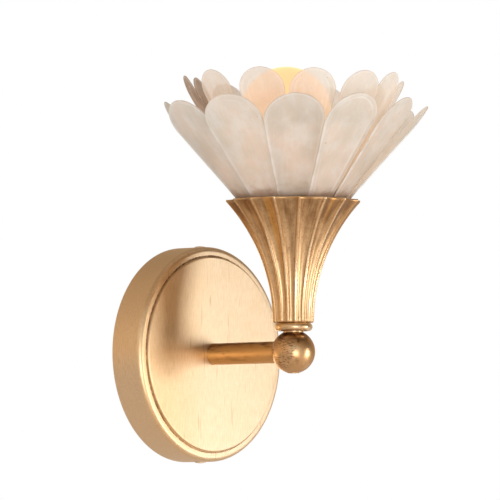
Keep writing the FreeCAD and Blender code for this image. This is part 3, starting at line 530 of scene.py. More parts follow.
def shell():
    """Glossy shell, browner towards the cup and with painted shade at its feet, part translucent and part clear.
    """
    material, tree, end = new_material("shell")
    place, above_cup = stored(tree, "place", "Vector"), stored(tree, "above_cup")
    values = {
        "Place": place,
        "Rim": stored(tree, "rim"),
        "Brown": stored(tree, "brown"),
        "Lit Edge": stored(tree, "lit_edge"),
    }
    layers = place_group(tree, SHELL_LAYERS, values)
    browner_near_cup = spread(tree, above_cup, 0.0, 45.0, 0.12, 0.0)
    # Painted shade at the petals' feet, down by the cup, with a wandering edge
    wandering = swing(tree, noisy(tree, place, 0.13, 2.0), 16.0, above_cup)
    foot = spread(tree, wandering, -1.0, 7.0, 0.65, 0.0)
    colour = layer(tree, layers["Color"], (browner_near_cup, (0.66, 0.52, 0.39)), (foot, (0.42, 0.26, 0.15)))
    relief = bumped(tree, layers["Height"], 0.15, 0.0004)
    glossy = {"Base Color": colour, "Roughness": layers["Roughness"], "Normal": relief}
    face = add(tree, "BsdfPrincipled", {**glossy, "Specular IOR Level": 0.5}).outputs[0]
    through = add(tree, "BsdfTranslucent", {"Color": colour, "Normal": relief}).outputs[0]
    body = add(tree, "MixShader", {0: SHELL_THROUGH, 1: face, 2: through}).outputs[0]
    clear = add(tree, "BsdfTransparent", {"Color": rgb(1.0, 0.97, 0.93)}).outputs[0]
    back = add(tree, "NewGeometry").outputs["Backfacing"]
    share = add(tree, "Mix", {0: back, 2: stored(tree, "clear"), 3: FAR_FACE_CLEAR}).outputs[0]
    shadow = product(tree, add(tree, "LightPath").outputs["Is Shadow Ray"], SHADOW_CLEAR)
    share = maths(tree, "MAXIMUM", share, shadow)
    whole = add(tree, "MixShader", {0: share, 1: body, 2: clear}).outputs[0]
    tree.links.new(whole, end.inputs["Surface"])
    return material


SHELL = shell()
print("shell: clear shares", SHELL_CLEAR, "and soft share", SHELL_THROUGH)

# %% [markdown]
# ## The lamp and the small hardware
#
# The globe is an amber opal lamp that is lit, so its glass gives off light itself and hardly
# reflects. The hardware inside is seen only from above or behind, yet each piece has its own real
# finish. They differ only in colour, gloss and whether they are metal, so one function makes
# them all.

# %% Lamp glass
LAMP_STRENGTH = 1.0
LAMP_GLOW = (1.0, 0.53, 0.18)
LAMP_POWER = 0.034


def globe_glass():
    """Amber opal glass that is lit from inside."""
    material, tree, end = new_material("globe_glass")
    haze = noisy(tree, object_place(tree), 60.0, 2.0)
    surface = {
        "Base Color": blend_colours(tree, haze, rgb(0.22, 0.13, 0.06), rgb(0.16, 0.09, 0.04)),
        "Roughness": spread(tree, haze, 0.2, 0.8, 0.30, 0.38),
        "Emission Color": blend_colours(tree, haze, rgb(0.93, 0.52, 0.255), rgb(0.95, 0.57, 0.31)),
        "Emission Strength": LAMP_STRENGTH,
    }
    coat(tree, end, surface)
    return material


GLOBE = globe_glass()
print("lamp glass gives off", LAMP_STRENGTH)


# %% Small hardware
def plain_finish(name, dark, light, roughness, metallic=0.0):
    """A small part's finish: two tones mixed by grain, and a gloss that varies with it."""
    material, tree, end = new_material(name)
    marks = grained(tree, object_place(tree), 900.0, 0.2, 130.0)
    tone = maths(tree, "MULTIPLY_ADD", marks["Streaks"], 0.5, product(tree, marks["Cloud"], 0.5))
    surface = {
        "Base Color": blend_colours(tree, spread(tree, tone, 0.35, 0.65), rgb(*dark), rgb(*light)),
        "Roughness": spread(tree, tone, 0.3, 0.7, roughness * 0.85, roughness * 1.15),
        "Metallic": metallic,
        "Normal": bumped(tree, marks["Streaks"], 0.05, 0.0001),
    }
    coat(tree, end, surface)
    return material


# Each finish's two tones, its roughness and, where it isn't 0, how metallic it is
FINISHES = {
    "brass": ((0.62, 0.40, 0.14), (0.78, 0.56, 0.24), 0.32, 1.0),
    "zinc_steel": ((0.50, 0.49, 0.46), (0.66, 0.65, 0.62), 0.38, 1.0),
    "green_steel": ((0.05, 0.22, 0.08), (0.08, 0.34, 0.13), 0.35, 0.6),
    "phenolic": ((0.70, 0.67, 0.60), (0.80, 0.77, 0.70), 0.42),
    "stem_glass": ((0.70, 0.72, 0.70), (0.82, 0.84, 0.82), 0.12),
    "cap_glass": ((0.03, 0.03, 0.04), (0.06, 0.06, 0.07), 0.18),
    "solder": ((0.48, 0.48, 0.47), (0.66, 0.66, 0.64), 0.30, 1.0),
    "tungsten": ((0.22, 0.21, 0.20), (0.34, 0.33, 0.31), 0.40, 1.0),
    "black_insulation": ((0.02, 0.02, 0.02), (0.05, 0.05, 0.05), 0.45),
    "white_insulation": ((0.68, 0.67, 0.64), (0.80, 0.79, 0.76), 0.45),
    "connector_plastic": ((0.62, 0.17, 0.03), (0.78, 0.26, 0.05), 0.40),
}
HARDWARE = {name: plain_finish(name, *values) for name, values in FINISHES.items()}
print("hardware finishes:", ", ".join(HARDWARE))

# %% [markdown]
# ## Turned pieces
#
# The canopy, arm, ball, ring and lamp are all turned or spun, so each is one outline swept round
# an axis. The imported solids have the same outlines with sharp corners. Real spun metal has none,
# and a corner that catches no light looks computer-made, so every corner here gets its own small
# radius. Each vertex also remembers where it sits on the unrolled surface, because a finish that
# follows the form needs that more than it needs X, Y and Z.

# %% Rounded outlines
def rounded(corners, steps):
    """The closed outline through corners (radius, height, rounding), in millimetres."""
    outline = []
    for number, (x, z, bend) in enumerate(corners):
        here = Vector((x, z))
        if bend <= 0:
            outline.append(here)
            continue
        before = (Vector(corners[number - 1][:2]) - here).normalized()
        after = (Vector(corners[(number + 1) % len(corners)][:2]) - here).normalized()
        half = before.angle(after) / 2
        centre = here + (before + after).normalized() * (bend / math.sin(half))
        first = here + before * (bend / math.tan(half)) - centre
        last = here + after * (bend / math.tan(half)) - centre
        sweep = first.angle_signed(last)
        for step in range(steps + 1):
            turn = Matrix.Rotation(-sweep * step / steps, 2)
            outline.append(centre + turn @ first)
    return outline


def arc(centre_x, centre_z, radius, start, end, steps):
    """Points of an arc about a centre, its angles in degrees from the outward direction."""
    points = []
    for step in range(steps + 1):
        angle = math.radians(start + (end - start) * step / steps)
        points.append(Vector((centre_x + radius * math.cos(angle), centre_z + radius * math.sin(angle))))
    return points


print("outline helpers ready")

# %% Sweep an outline round an axis
RUBBED = 0.78


def finish_mesh(name, vertices, faces, values, material, body, nodes, slot):
    """A piece on its body, for those CAD nodes, that keeps one number or a vector at each point."""
    mesh = bpy.data.meshes.new(name)
    mesh.from_pydata(vertices, [], faces)
    for label, numbers in values.items():
        single = len(numbers) == len(vertices)
        points = mesh.attributes.new(label, "FLOAT" if single else "FLOAT_VECTOR", "POINT")
        points.data.foreach_set("value" if single else "vector", numbers)
    work = bmesh.new()
    work.from_mesh(mesh)
    bmesh.ops.remove_doubles(work, verts=work.verts, dist=1e-7)
    bmesh.ops.recalc_face_normals(work, faces=work.faces)
    work.to_mesh(mesh)
    work.free()
    mesh.shade_smooth()
    mesh.materials.append(material)
    piece = bpy.data.objects.new(name, mesh)
    scene.collection.objects.link(piece)
    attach(piece, body)
    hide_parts(*nodes)
    return piece


def woven(loops, count, closed=True):
    """The faces between loops of count points each, the last loop joined to the first if closed."""
    faces = []
    for loop in range(loops if closed else loops - 1):
        here, ahead = loop * count, (loop + 1) % loops * count
        for number in range(count):
            following = (number + 1) % count
            faces.append((here + number, ahead + number, ahead + following, here + following))
    return faces


def turned(name, outline, where, material, nodes, slot, body="fixture", around=128):
    """A turned piece from its closed outline in millimetres, in so many columns."""
    vertices, places = [], []
    run = [0.0]
    for here, ahead in zip(outline, outline[1:]):
        run.append(run[-1] + (ahead - here).length)
    steady = max(point.x for point in outline)
    for step in range(around):
        angle = 2 * math.pi * step / around
        cosine, sine = math.cos(angle), math.sin(angle)
        for point, along in zip(outline, run):
            vertices.append(where @ (Vector((point.x * cosine, point.x * sine, point.y)) * MM))
            places += [steady * MM * cosine, steady * MM * sine, along * MM]
    values = {"place": places, "ridge": [RUBBED] * len(vertices)}
    faces = woven(around, len(outline))
    piece = finish_mesh(name, vertices, faces, values, material, body, nodes, slot)
    weigh = piece.modifiers.new("weighted normals", "WEIGHTED_NORMAL")
    weigh.keep_sharp = True


print("mesh helpers ready")

# %% [markdown]
# ## The canopy
#
# A spun dish stands on the wall: a straight side, a soft edge, a narrow flat band, then a step up
# to the front disc. The step's foot is a fine dark line in the photograph, so the disc's rounded
# edge dips into a shallow groove, which holds shadow, and painted shade in its finish darkens it more.

# %% Canopy
canopy_low, canopy_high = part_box("canopy")
CANOPY_RADIUS = canopy_high.x / MM
DISC_FRONT = -canopy_low.y / MM
DISC_RADIUS = 57.6
BAND_FRONT = 21.8
SHEET = 1.2
GROOVE = 0.35
ARM_HOLE = 5.1

canopy_outline = rounded(
    [
        (CANOPY_RADIUS, 0, 0.25),
        (CANOPY_RADIUS, BAND_FRONT, 3.0),
        (DISC_RADIUS + 0.8, BAND_FRONT, 0.3),
        (DISC_RADIUS + 0.1, BAND_FRONT - GROOVE, 0.15),
        (DISC_RADIUS, DISC_FRONT, 0.9),
        (ARM_HOLE, DISC_FRONT, 0),
        (ARM_HOLE, DISC_FRONT - SHEET, 0),
        (DISC_RADIUS - SHEET, DISC_FRONT - SHEET, 0.3),
        (DISC_RADIUS - SHEET, BAND_FRONT - SHEET - GROOVE, 0.2),
        (CANOPY_RADIUS - SHEET, BAND_FRONT - SHEET - GROOVE, 1.6),
        (CANOPY_RADIUS - SHEET, 0, 0.25),
    ],
    8,
)
gold = GOLDS["brushed_gold"]
turned("canopy_spun", canopy_outline, ON_WALL, gold, ["canopy"], "brushed_gold", around=256)
print("canopy", round(2 * CANOPY_RADIUS, 1), "mm across and", round(DISC_FRONT, 1), "mm deep")

# %% [markdown]
# ## The arm, the ball and the ring
#
# The arm is a plain tube that meets the ball in a flat seat. Between the ball and the cup sit a
# thin neck and a rounded ring, which is bright where it was handled. The ball is nearly a sphere:
# swept from an arc, with the flat where the neck stands.

# %% Arm tube
arm_low, arm_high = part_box("arm_tube")
ARM_RADIUS = arm_high.x / MM
ARM_START, ARM_END = -arm_high.y / MM, -arm_low.y / MM
arm_outline = rounded(
    [
        (ARM_HOLE - 0.1, ARM_START, 0),
        (ARM_RADIUS, ARM_START, 0.3),
        (ARM_RADIUS, ARM_END, 0.3),
        (ARM_HOLE - 0.1, ARM_END, 0),
    ],
    4,
)
turned("arm_tube_smooth", arm_outline, ON_WALL, GOLDS["arm_gold"], ["arm_tube"], "arm_gold", around=96)
print("arm", round(2 * ARM_RADIUS, 1), "mm across")

# %% Ball and ring
BALL_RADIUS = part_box("ball")[1].x / MM
NECK_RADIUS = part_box("neck_washer")[1].x / MM
BORE = 3.4
seat = math.degrees(math.acos(NECK_RADIUS / BALL_RADIUS))
ball_outline = arc(0, 0, BALL_RADIUS, -80, seat, 72)
ball_outline += [Vector((BORE, ball_outline[-1].y)), Vector((BORE, ball_outline[0].y))]
turned("ball_smooth", ball_outline, CUP_AXIS, GOLDS["ball_gold"], ["ball"], "arm_gold")

ring_low, ring_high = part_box("ring_washer")
ring_half = (ring_high.z - ring_low.z) / 2 / MM
ring_middle = (ring_high.z + ring_low.z) / 2 / MM
RING_RADIUS = ring_high.x / MM
ring_outline = arc(RING_RADIUS - ring_half, ring_middle, ring_half, -90, 90, 20)
ring_outline += [Vector((ARM_HOLE, ring_high.z / MM)), Vector((ARM_HOLE, ring_low.z / MM))]
turned("ring_smooth", ring_outline, CUP_AXIS, GOLDS["antique_gold"], ["ring_washer"], "antique_gold")
print("ball", round(2 * BALL_RADIUS, 1), "mm, ring", round(2 * RING_RADIUS, 1), "mm across")

# %% [markdown]
# ## The fluted cup
#
# The cup is cast: a trumpet whose wall leaves its foot upright and flares in one arc, with sixteen
# hollow flutes between narrow rounded ridges. It could be a turned shape with cutters taken out
# of it, but a casting has no crisp cuts. So the wall's radius is written as one smooth formula
# of angle and height, and a little slow noise makes each flute slightly its own.

# %% Cup measures
cup_low, cup_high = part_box("fluted_cup")
CUP_BOTTOM, CUP_TOP = cup_low.z / MM, cup_high.z / MM
CUP_MOUTH = 40.4
CUP_FOOT = 12.15
CUP_FLOOR = 3.0
HOLLOW_FOOT = 9.4
LIP = 4.2
LIP_ROUND = 0.9
FOOT_ROUND, FOOT_DRAWN_IN = 0.5, 0.45
FLUTES = 16
FLUTE_TURN = math.radians(12.75)
FLUTE_STRAY = 0.012
RIDGE_WIDTH = 2.3
FOOT_DEPTH, MOUTH_DEPTH = 0.9, 2.6
CROWN = 0.38
SOFT_EDGE = 0.10
CAST_DENT = 0.10
cup_height = CUP_TOP - CUP_BOTTOM
hollow_height = cup_height - CUP_FLOOR


def flared(foot, mouth, whole, height):
    """The radius at a height of an arc that leaves foot upright and reaches mouth at whole."""
    out = mouth - foot
    bend = (out**2 + whole**2) / (2 * out)
    return foot + bend - math.sqrt(bend**2 - height**2)


def cup_radius(height):
    """The trumpet's radius over the ridges at a height above the cup's foot."""
    return flared(CUP_FOOT, CUP_MOUTH, cup_height, height)


def flute(angle, height):
    """How far the wall lies inside the crests, and how much a point is on a ridge, 0 to 1."""
    half_pitch = math.pi / FLUTES
    spot = Vector((math.cos(angle), math.sin(angle), height / 34)) * 2.2
    turn = (angle + FLUTE_STRAY * noise.noise(spot) - FLUTE_TURN) / half_pitch
    from_flute = abs((turn + 1) % 2 - 1)
    land = RIDGE_WIDTH / 2 / (cup_radius(height) * half_pitch)
    depth = FOOT_DEPTH + (MOUTH_DEPTH - FOOT_DEPTH) * height / cup_height
    hollow = 1 - (from_flute / (1 - land * 0.72)) ** 2
    hollow = SOFT_EDGE * math.log1p(math.exp(hollow / SOFT_EDGE))
    off_crest = min(1.0, (1 - from_flute) / land) ** 2
    ridge = max(0.0, min(1.0, 1 - hollow * 2.2)) * (1 - 0.55 * off_crest)
    return (depth - CROWN) * min(hollow, 1.0) + CROWN * off_crest, ridge


def drawn_in(share):
    """How far a rounded edge draws in, 0 to 1, at a share of the way out along it."""
    return 1 - math.sqrt(max(0.0, 1 - share**2))


print("cup", round(cup_height, 1), "mm high with", FLUTES, "flutes")

# %% Cup mesh
COLUMNS = FLUTES * 32
WALL_STEPS, HOLLOW_STEPS = 72, 24
PLACE_RADIUS = 20 * MM
# How rubbed the metal is at the lip's outer edge, across the lip and inside the cup; the bright
# outer edge is partly rubbed wear and partly a painted highlight
LIP_EDGE, LIP_FLAT, INSIDE = 1.3, 0.8, 0.3
cup_vertices, cup_places, cup_ridges = [], [], []
for step in range(COLUMNS):
    angle = 2 * math.pi * step / COLUMNS
    cosine, sine = math.cos(angle), math.sin(angle)
    column = []
    for wall_step in range(WALL_STEPS + 1):
        height = cup_height * wall_step / WALL_STEPS
        sunk, ridge = flute(angle, height)
        sunk += CAST_DENT * (1 + noise.noise(Vector((cosine * 3, sine * 3, height / 11))))
        sunk += FOOT_DRAWN_IN * drawn_in(max(0.0, 1 - height / FOOT_ROUND))
        top = max(0.0, (height - cup_height + LIP_ROUND) / LIP_ROUND)
        sunk += LIP_ROUND * drawn_in(top)
        column.append((cup_radius(height) - sunk, height, max(ridge, LIP_EDGE * top)))
    lip_outer, lip_inner = column[-1][0], CUP_MOUTH - LIP
    for part in (0.25, 0.5, 0.75):
        column.append((lip_outer + (lip_inner - lip_outer) * part, cup_height, LIP_FLAT))
    for hollow_step in range(HOLLOW_STEPS + 1):
        height = hollow_height * (1 - hollow_step / HOLLOW_STEPS)
        radius = flared(HOLLOW_FOOT, lip_inner, hollow_height, height)
        column.append((radius, CUP_FLOOR + height, INSIDE))
    column += [(ARM_HOLE, CUP_FLOOR, INSIDE), (ARM_HOLE, 0, INSIDE)]
    for radius, height, ridge in column:
        spot = Vector((radius * cosine, radius * sine, CUP_BOTTOM + height))
        cup_vertices.append(CUP_AXIS @ (spot * MM))
        cup_places += [PLACE_RADIUS * cosine, PLACE_RADIUS * sine, height * MM]
        cup_ridges.append(ridge)
cup_faces = woven(COLUMNS, len(column))
cup_values = {"place": cup_places, "ridge": cup_ridges}
cup_on = GOLDS["antique_gold"], "fixture", ["fluted_cup"], "antique_gold"
finish_mesh("cup_cast", cup_vertices, cup_faces, cup_values, *cup_on)
print("cup", len(cup_faces), "faces")

# %% [markdown]
# ## Shell petals
#
# Each petal is a flat plate of shell, cut as a wedge with a round top, so it could be one extruded
# outline. But real ones are ground by hand and riveted on one by one: outlines waver, the plates
# bow a little, and every one stands at its own lean. The shared roll lays each left edge over the
# neighbour, and that edge is what catches the light. So each petal is a closed thin body with a
# rounded rim, made flat first and then stood in its place on the cone.

# %% Petal measures
PETAL_THICK = 0.7
MEASURES = "tip_radius", "tip_height", "lean", "roll", "length", "round", "flare", "azimuth"
TIERS = {
    "outer": dict(zip(MEASURES, (76.5, 145.0, 39.0, 6.3, 86.0, 17.8, 9.5, 220.6))),
    "inner": dict(zip(MEASURES, (64.8, 160.6, 29.2, 0.0, 87.5, 13.7, 7.0, 201.0))),
}
# For each petal from the one that faces the front left: how far it strays in lean, about its
# rivet and in roll, in degrees, and how much brown is laid over it, from 0 to 1, which is partly
# the shell's own tone and partly painted shade that darkens the whole petal
HAND_SET = {
    "outer": [
        (0, -0.5, -0.5, 0.23),
        (-1, -1, -0.5, 0.14),
        (-0.5, -2, -0.5, 0.19),
        (2, 1, 1.5, 0.05),
        (0.5, 1, 0, 0.12),
        (0.5, -1, 0.5, 0.08),
        (0, 1, 0.5, 0.15),
        (1, -0.5, 0, 0.04),
        (0.5, -1, 0.5, 0.12),
        (-1, 0.5, 0.5, 0.18),
        (1.5, 0.5, 0.5, 0.14),
        (-0.5, 1.5, 0.5, 0.03),
    ],
    "inner": [
        (-1.5, -1, 3, 0.03),
        (0, -0.5, -1.5, 0.0),
        (0.5, 0, -0.5, 0.12),
        (-1, 1, -5, 0.05),
        (1.5, -3, 2, 0.1),
        (1, -1, 0, 0.1),
        (1, -2, 2, 0.1),
        (0.5, 0, -2, 0.15),
        (-0.5, 1, 1, 0.3),
        # Painted shade: the next two inner petals, seen nearly edge-on at the far left, are laid dark brown
        (-2.5, 2, 3, 0.9),
        (0, 1, -2, 1.0),
        (-1.5, 0.5, -3, 0.13),
    ],
}
RIVET_UP = 5.0
HALF_ACROSS = 20
LOOP = 2 * (2 * HALF_ACROSS + 1)
ROUND_ROWS = 18
STRAIGHT_ROWS = 30
UPRIGHT = Matrix(((0, 0, 1, 0), (1, 0, 0, 0), (0, 1, 0, 0), (0, 0, 0, 1)))


def petal_place(tier, number, more_lean, aside, more_roll):
    """Where a petal's rivet hole sits. The petal's x runs across it, its y up and its z out."""
    lean = math.radians(tier["lean"])
    drop = tier["length"] - RIVET_UP
    around = tier["azimuth"] + (number - 1) * 360 / len(HAND_SET["outer"])
    out, up = tier["tip_radius"] - drop * math.sin(lean), tier["tip_height"] - drop * math.cos(lean)
    place = CUP_AXIS @ Matrix.Rotation(math.radians(around), 4, "Z")
    place = place @ Matrix.Translation(Vector((out, 0, up)) * MM)
    place = place @ Matrix.Rotation(math.radians(tier["lean"] + more_lean), 4, "Y") @ UPRIGHT
    place = place @ Matrix.Rotation(math.radians(tier["roll"] + more_roll), 4, "Y")
    return place @ Matrix.Rotation(math.radians(aside), 4, "Z")


def shoulder_drop(tier):
    """How far below the tip the round end runs into the straight sides."""
    return tier["round"] * (1 + math.sin(math.radians(tier["flare"])))


def petal_rows(tier):
    """(distance from the tip, half width) of each row of points, from the tip to the foot."""
    flare = math.radians(tier["flare"])
    shoulder = shoulder_drop(tier)
    rows = []
    for step in range(ROUND_ROWS + 1):
        turn = (math.pi / 2 + flare) * step / ROUND_ROWS
        rows.append((tier["round"] * (1 - math.cos(turn)), tier["round"] * math.sin(turn)))
    side = rows[-1][1]
    for step in range(1, STRAIGHT_ROWS + 1):
        drop = shoulder + (tier["length"] - shoulder) * step / STRAIGHT_ROWS
        rows.append((drop, side - (drop - shoulder) * math.tan(flare)))
    return rows


def rim_distance(tier, x, drop):
    """How far a point lies inside the petal's outline."""
    flare = math.radians(tier["flare"])
    below = drop - shoulder_drop(tier)
    if below < 0:
        return tier["round"] - math.hypot(x, tier["round"] - drop)
    side = tier["round"] * math.cos(flare) - below * math.tan(flare)
    return (side - abs(x)) * math.cos(flare)


print("petals of", {name: tier["length"] for name, tier in TIERS.items()}, "mm")

# %% One petal
THINNEST_RIM = 0.25
BOW = 0.45
WAVE = 0.14
RIPPLE = 0.012
CREST, CREST_FADE = 0.5, 6
LIT_EDGE_WIDTH, LIT_EDGE_FALL = 2.6, 1.3
BROWN_DULLS = 0.9


def build_petal(name, tier_name, number):
    """A petal as a closed plate with a rounded rim, wavering and bowed within its solid."""
    tier = TIERS[tier_name]
    more_lean, aside, more_roll, brown = HAND_SET[tier_name][number - 1]
    dice = random.Random(f"{tier_name} {number}")
    bow = -dice.uniform(0.2, 1.0) * BOW
    offset = Vector((dice.uniform(0, 50), dice.uniform(0, 50), 40.0 * number))
    place = petal_place(tier, number, more_lean, aside, more_roll)
    half = PETAL_THICK / 2
    shoulder = shoulder_drop(tier)
    vertices = []
    values = {"place": [], "rim": [], "above_cup": [], "brown": [], "clear": [], "lit_edge": []}
    rows = petal_rows(tier)
    for drop, width in rows:
        free = 1 - drop / tier["length"]
        ripple = 1 - RIPPLE * (0.5 + noise.noise(Vector((drop / 9, number * 7.1, 0.3)))) * free
        crest = CREST * abs(noise.noise(Vector((number * 3.3, drop / 6, 9.7))))
        up = tier["length"] - RIVET_UP - drop - crest * math.exp(-drop / CREST_FADE)
        straight = min(1.0, max(0.0, (drop - 0.6 * shoulder) / (0.5 * shoulder)))
        for side in (1, -1):
            for step in range(-HALF_ACROSS, HALF_ACROSS + 1):
                x = side * width * math.sin(math.pi / 2 * step / HALF_ACROSS)
                inside = max(0.0, rim_distance(tier, x, drop))
                thick = half * math.sqrt(1 - max(0.0, 1 - inside / half) ** 2)
                wave = noise.noise(Vector((x / 9, drop / 14, number * 5.0))) - 0.6
                sway = bow * free**2 * (1 - (x / tier["round"]) ** 2) + WAVE * free * wave
                out = side * max(thick, half * THINNEST_RIM) + sway
                spot = place @ (Vector((x * ripple, up, out)) * MM)
                near = max(0.0, 1 - inside / LIT_EDGE_WIDTH) ** LIT_EDGE_FALL
                vertices.append(spot)
                values["place"] += [x + offset.x, tier["length"] - drop + offset.y, offset.z]
                values["rim"].append(inside)
                values["above_cup"].append(spot.z / MM - CUP_TOP)
                values["brown"].append(brown)
                values["clear"].append(SHELL_CLEAR[tier_name] * (1 - BROWN_DULLS * brown))
                values["lit_edge"].append(near * straight if x < 0 else 0.0)
    faces = woven(len(rows), LOOP, closed=False)
    last = (len(rows) - 1) * LOOP
    for step in range(LOOP // 2 - 1):
        faces.append((last + step, last + step + 1, last + LOOP - 2 - step, last + LOOP - 1 - step))
    node = f"{tier_name}_petal_{number:02d}"
    return finish_mesh(name, vertices, faces, values, SHELL, "fixture", [node], "shell")


print("one petal has", LOOP, "points in each row")

# %% Both tiers
petals, worst = 0, 0.0
for tier_name, hand_set in HAND_SET.items():
    for number in range(1, len(hand_set) + 1):
        piece = build_petal(f"{tier_name}_shell_{number:02d}", tier_name, number)
        low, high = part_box(f"{tier_name}_petal_{number:02d}")
        for vertex in piece.data.vertices:
            past = max(max(low[axis] - vertex.co[axis], vertex.co[axis] - high[axis]) for axis in range(3))
            worst = max(worst, past)
        petals += 1
print(petals, "petals, at most", round(worst / MM, 2), "mm past their solids")

# %% [markdown]
# ## The globe lamp
#
# The lamp leans a little, as the strap that carries it does. Its axis is the one it is drawn out
# along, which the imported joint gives, and its centre follows from the glass node's box. The
# outline is one big arc that runs through a reverse curve into the narrow neck, which stands in
# the lamp's cap.

# %% Globe
GLOBE_RADIUS = 26.2
GLOBE_NECK = 8.0
NECK_BLEND = 12.0
SEAT_RADIUS = 5.35
CAP_TOP_BELOW = 35.7
GLASS_FOOT_BELOW = 39.7
GLASS = 0.8
glass_low, glass_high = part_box("bulb_glass")
lamp_axis = Vector(frame["joints"][0]["axis"]).normalized()
globe_centre = Vector(
    ((glass_low.x + glass_high.x) / 2, (glass_low.y + glass_high.y) / 2, glass_high.z - GLOBE_RADIUS * MM)
)
reach = GLOBE_NECK + NECK_BLEND
below = math.sqrt((GLOBE_RADIUS + NECK_BLEND) ** 2 - reach**2)
meet = math.degrees(math.atan2(-below, reach))
seat_inside = SEAT_RADIUS - GLASS
globe_outline = arc(0, 0, GLOBE_RADIUS, 90, meet, 64)
globe_outline += arc(reach, -below, NECK_BLEND, 180 + meet, 180, 10)[1:]
globe_outline += [Vector((SEAT_RADIUS, -CAP_TOP_BELOW)), Vector((SEAT_RADIUS, -GLASS_FOOT_BELOW))]
globe_outline += [Vector((seat_inside, -GLASS_FOOT_BELOW)), Vector((seat_inside, 0.5 - CAP_TOP_BELOW))]
globe_outline += arc(reach, -below, NECK_BLEND + GLASS, 180, 180 + meet, 10)
globe_outline += arc(0, 0, GLOBE_RADIUS - GLASS, meet, 90, 64)[1:]
lamp_place = Matrix.Translation(globe_centre) @ lamp_axis.to_track_quat("Z", "Y").to_matrix().to_4x4()
lamp_on = {"nodes": ["bulb_glass"], "slot": "globe_glass", "body": "bulb"}
turned("globe_glass_smooth", globe_outline, lamp_place, GLOBE, around=96, **lamp_on)
print("globe centre", [round(x / MM, 1) for x in globe_centre])

# %% The lamp's own light on the shells
glow = bpy.data.lights.new("lamp_glow", "POINT")
glow.color = LAMP_GLOW
glow.energy = LAMP_POWER
# The light's sphere is just outside the glass, and soft falloff would dim it on petals close by
glow.shadow_soft_size = (GLOBE_RADIUS + 0.4) * MM
glow.use_soft_falloff = False
glow_place = bpy.data.objects.new("lamp_glow", glow)
glow_place.location = globe_centre
glow_place.visible_camera = False
scene.collection.objects.link(glow_place)
print("lamp glow", LAMP_POWER, "W")

# %% [markdown]
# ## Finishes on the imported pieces
#
# The pieces inside the canopy, ball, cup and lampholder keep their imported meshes. The record says
# which finish each one has, so a loop puts the material of that slot on each node that still shows.

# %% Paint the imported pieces
BY_SLOT = {"shell": SHELL, "globe_glass": GLOBE, **GOLDS, **HARDWARE}
slots = {part["node"]: part["material_slot"] for part in frame["record"]["subparts"]}
painted = 0
for node_name, node in frame["nodes"].items():
    if node.hide_render:
        continue
    node.data.materials.clear()
    node.data.materials.append(BY_SLOT[slots[node_name]])
    painted += 1
print(painted, "packed pieces painted")

# %% [markdown]
# ## Light and background
#
# The sconce was photographed in a white studio with two soft boxes in front, a little below its
# level: both show as small highlights on the ball. The world stands for the pale room. To the
# camera and through the shell it is plain white. Metal needs something to reflect, so for it the
# room is bright in front, where the camera is, and a dimmer, warmer tone elsewhere, with a warm
# wall to the left and two pale ones behind. The dim side to the right is what draws the shaded
# band on the canopy. The part of the room that lights the pieces is kept low enough for a colour
# to come out as it is written.

# %% World
FRONT_WAY = (-0.927, -0.375, 0.0)
WARM_WAY = (-0.755, 0.656, 0.0)
GLOSSY_DIM, GLOSSY_BRIGHT = 0.19, 0.76
GLOSSY_STEEP = 0.34
GLOSSY_WARM = 0.25
ROOM_LIGHT, ROOM_SIDE = 0.52, 0.50
# Each pale wall's direction, the two cosines between which it fades in, and its strength
PALE_WALLS = [
    ((0.94, 0.342, 0.0), 0.50, 0.97, 0.38),
    ((0.07, 0.656, 0.746), 0.76, 0.98, 0.18),
]
WARM_TINT = rgb(1.0, 0.72, 0.47)

world = bpy.data.worlds.new("studio")
scene.world = world
world.use_nodes = True
sky = world.node_tree
sky.nodes.clear()
path = add(sky, "LightPath").outputs
way = add(sky, "TexCoord").outputs["Generated"]


def towards(direction):
    """The cosine between the way a ray goes and a direction."""
    return add(sky, "VectorMath", {0: way, 1: direction}, operation="DOT_PRODUCT").outputs["Value"]


warm = towards(WARM_WAY)
steep = maths(sky, "ABSOLUTE", split(sky, way)[2])
in_front = spread(sky, towards(FRONT_WAY), -0.3, 0.9)
in_front = product(sky, in_front, spread(sky, steep, 0.25, 0.85, 1.0, GLOSSY_STEEP))
in_metal = maths(sky, "MULTIPLY_ADD", in_front, GLOSSY_BRIGHT - GLOSSY_DIM, GLOSSY_DIM)
in_metal = maths(sky, "MULTIPLY_ADD", spread(sky, warm, -0.2, 0.9), GLOSSY_WARM, in_metal)
for direction, low, high, strength in PALE_WALLS:
    on_wall = spread(sky, towards(direction), low, high)
    in_metal = maths(sky, "MULTIPLY_ADD", on_wall, strength, in_metal)
in_room = maths(sky, "MULTIPLY_ADD", spread(sky, warm, -0.4, 0.9), ROOM_SIDE, ROOM_LIGHT)
level = add(sky, "Mix", {0: path["Is Glossy Ray"], 2: in_room, 3: in_metal}).outputs[0]
seen = maths(sky, "MAXIMUM", path["Is Camera Ray"], path["Is Transmission Ray"])
level = add(sky, "Mix", {0: seen, 2: level, 3: 1.0}).outputs[0]
not_front = spread(sky, in_front, 0.35, 1.0, 1.0, 0.0)
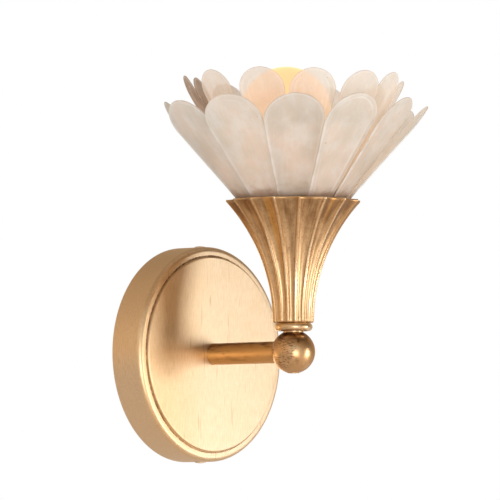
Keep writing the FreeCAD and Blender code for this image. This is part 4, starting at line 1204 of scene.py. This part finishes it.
warmth = maths(sky, "MAXIMUM", not_front, spread(sky, warm, 0.3, 0.9))
only_metal = product(sky, path["Is Glossy Ray"], warmth)
tint = blend_colours(sky, only_metal, rgb(1, 1, 1), WARM_TINT)
backdrop = add(sky, "Background", {"Color": tint, "Strength": level})
sky.links.new(backdrop.outputs[0], add(sky, "OutputWorld").inputs["Surface"])
print("world with", len(sky.nodes), "nodes")


# %% Soft boxes and floor
BOX_AWAY = 1.9


def soft_box(name, azimuth, elevation, wide, tall, power):
    """A soft box at that azimuth and elevation in degrees from the sconce, facing it."""
    data = bpy.data.lights.new(name, "AREA")
    data.shape = "RECTANGLE"
    data.size, data.size_y = wide, tall
    data.energy = power
    box = bpy.data.objects.new(name, data)
    middle = Vector((0, -0.05, 0.05))
    turn, rise = math.radians(azimuth), math.radians(elevation)
    away = Vector((math.cos(turn) * math.cos(rise), math.sin(turn) * math.cos(rise), math.sin(rise)))
    box.location = middle + away * BOX_AWAY
    box.rotation_euler = (-away).to_track_quat("-Z", "Y").to_euler()
    scene.collection.objects.link(box)


soft_box("soft_box_left", 233, -13, 0.75, 0.75, 12.5)
soft_box("soft_box_right", 301, -8, 0.48, 0.80, 12.1)

FLOOR_BELOW = 0.62
FLOOR_HALF = 6.0
corners = [(x * FLOOR_HALF, y * FLOOR_HALF, -FLOOR_BELOW) for x, y in ((-1, -1), (1, -1), (1, 1), (-1, 1))]
floor_mesh = bpy.data.meshes.new("floor")
floor_mesh.from_pydata(corners, [], [(0, 1, 2, 3)])
material, tree, end = new_material("floor_paint")
speckle = noisy(tree, object_place(tree), 3.0, 2.0)
paint = blend_colours(tree, speckle, rgb(0.86, 0.86, 0.85), rgb(0.90, 0.90, 0.89))
glossy_ray = add(tree, "LightPath").outputs["Is Glossy Ray"]
paint = layer(tree, paint, (glossy_ray, (0.90, 0.74, 0.61)))
coat(tree, end, {"Base Color": paint, "Roughness": 0.7})
floor_mesh.materials.append(material)
floor = bpy.data.objects.new("floor", floor_mesh)
scene.collection.objects.link(floor)
print("studio set")
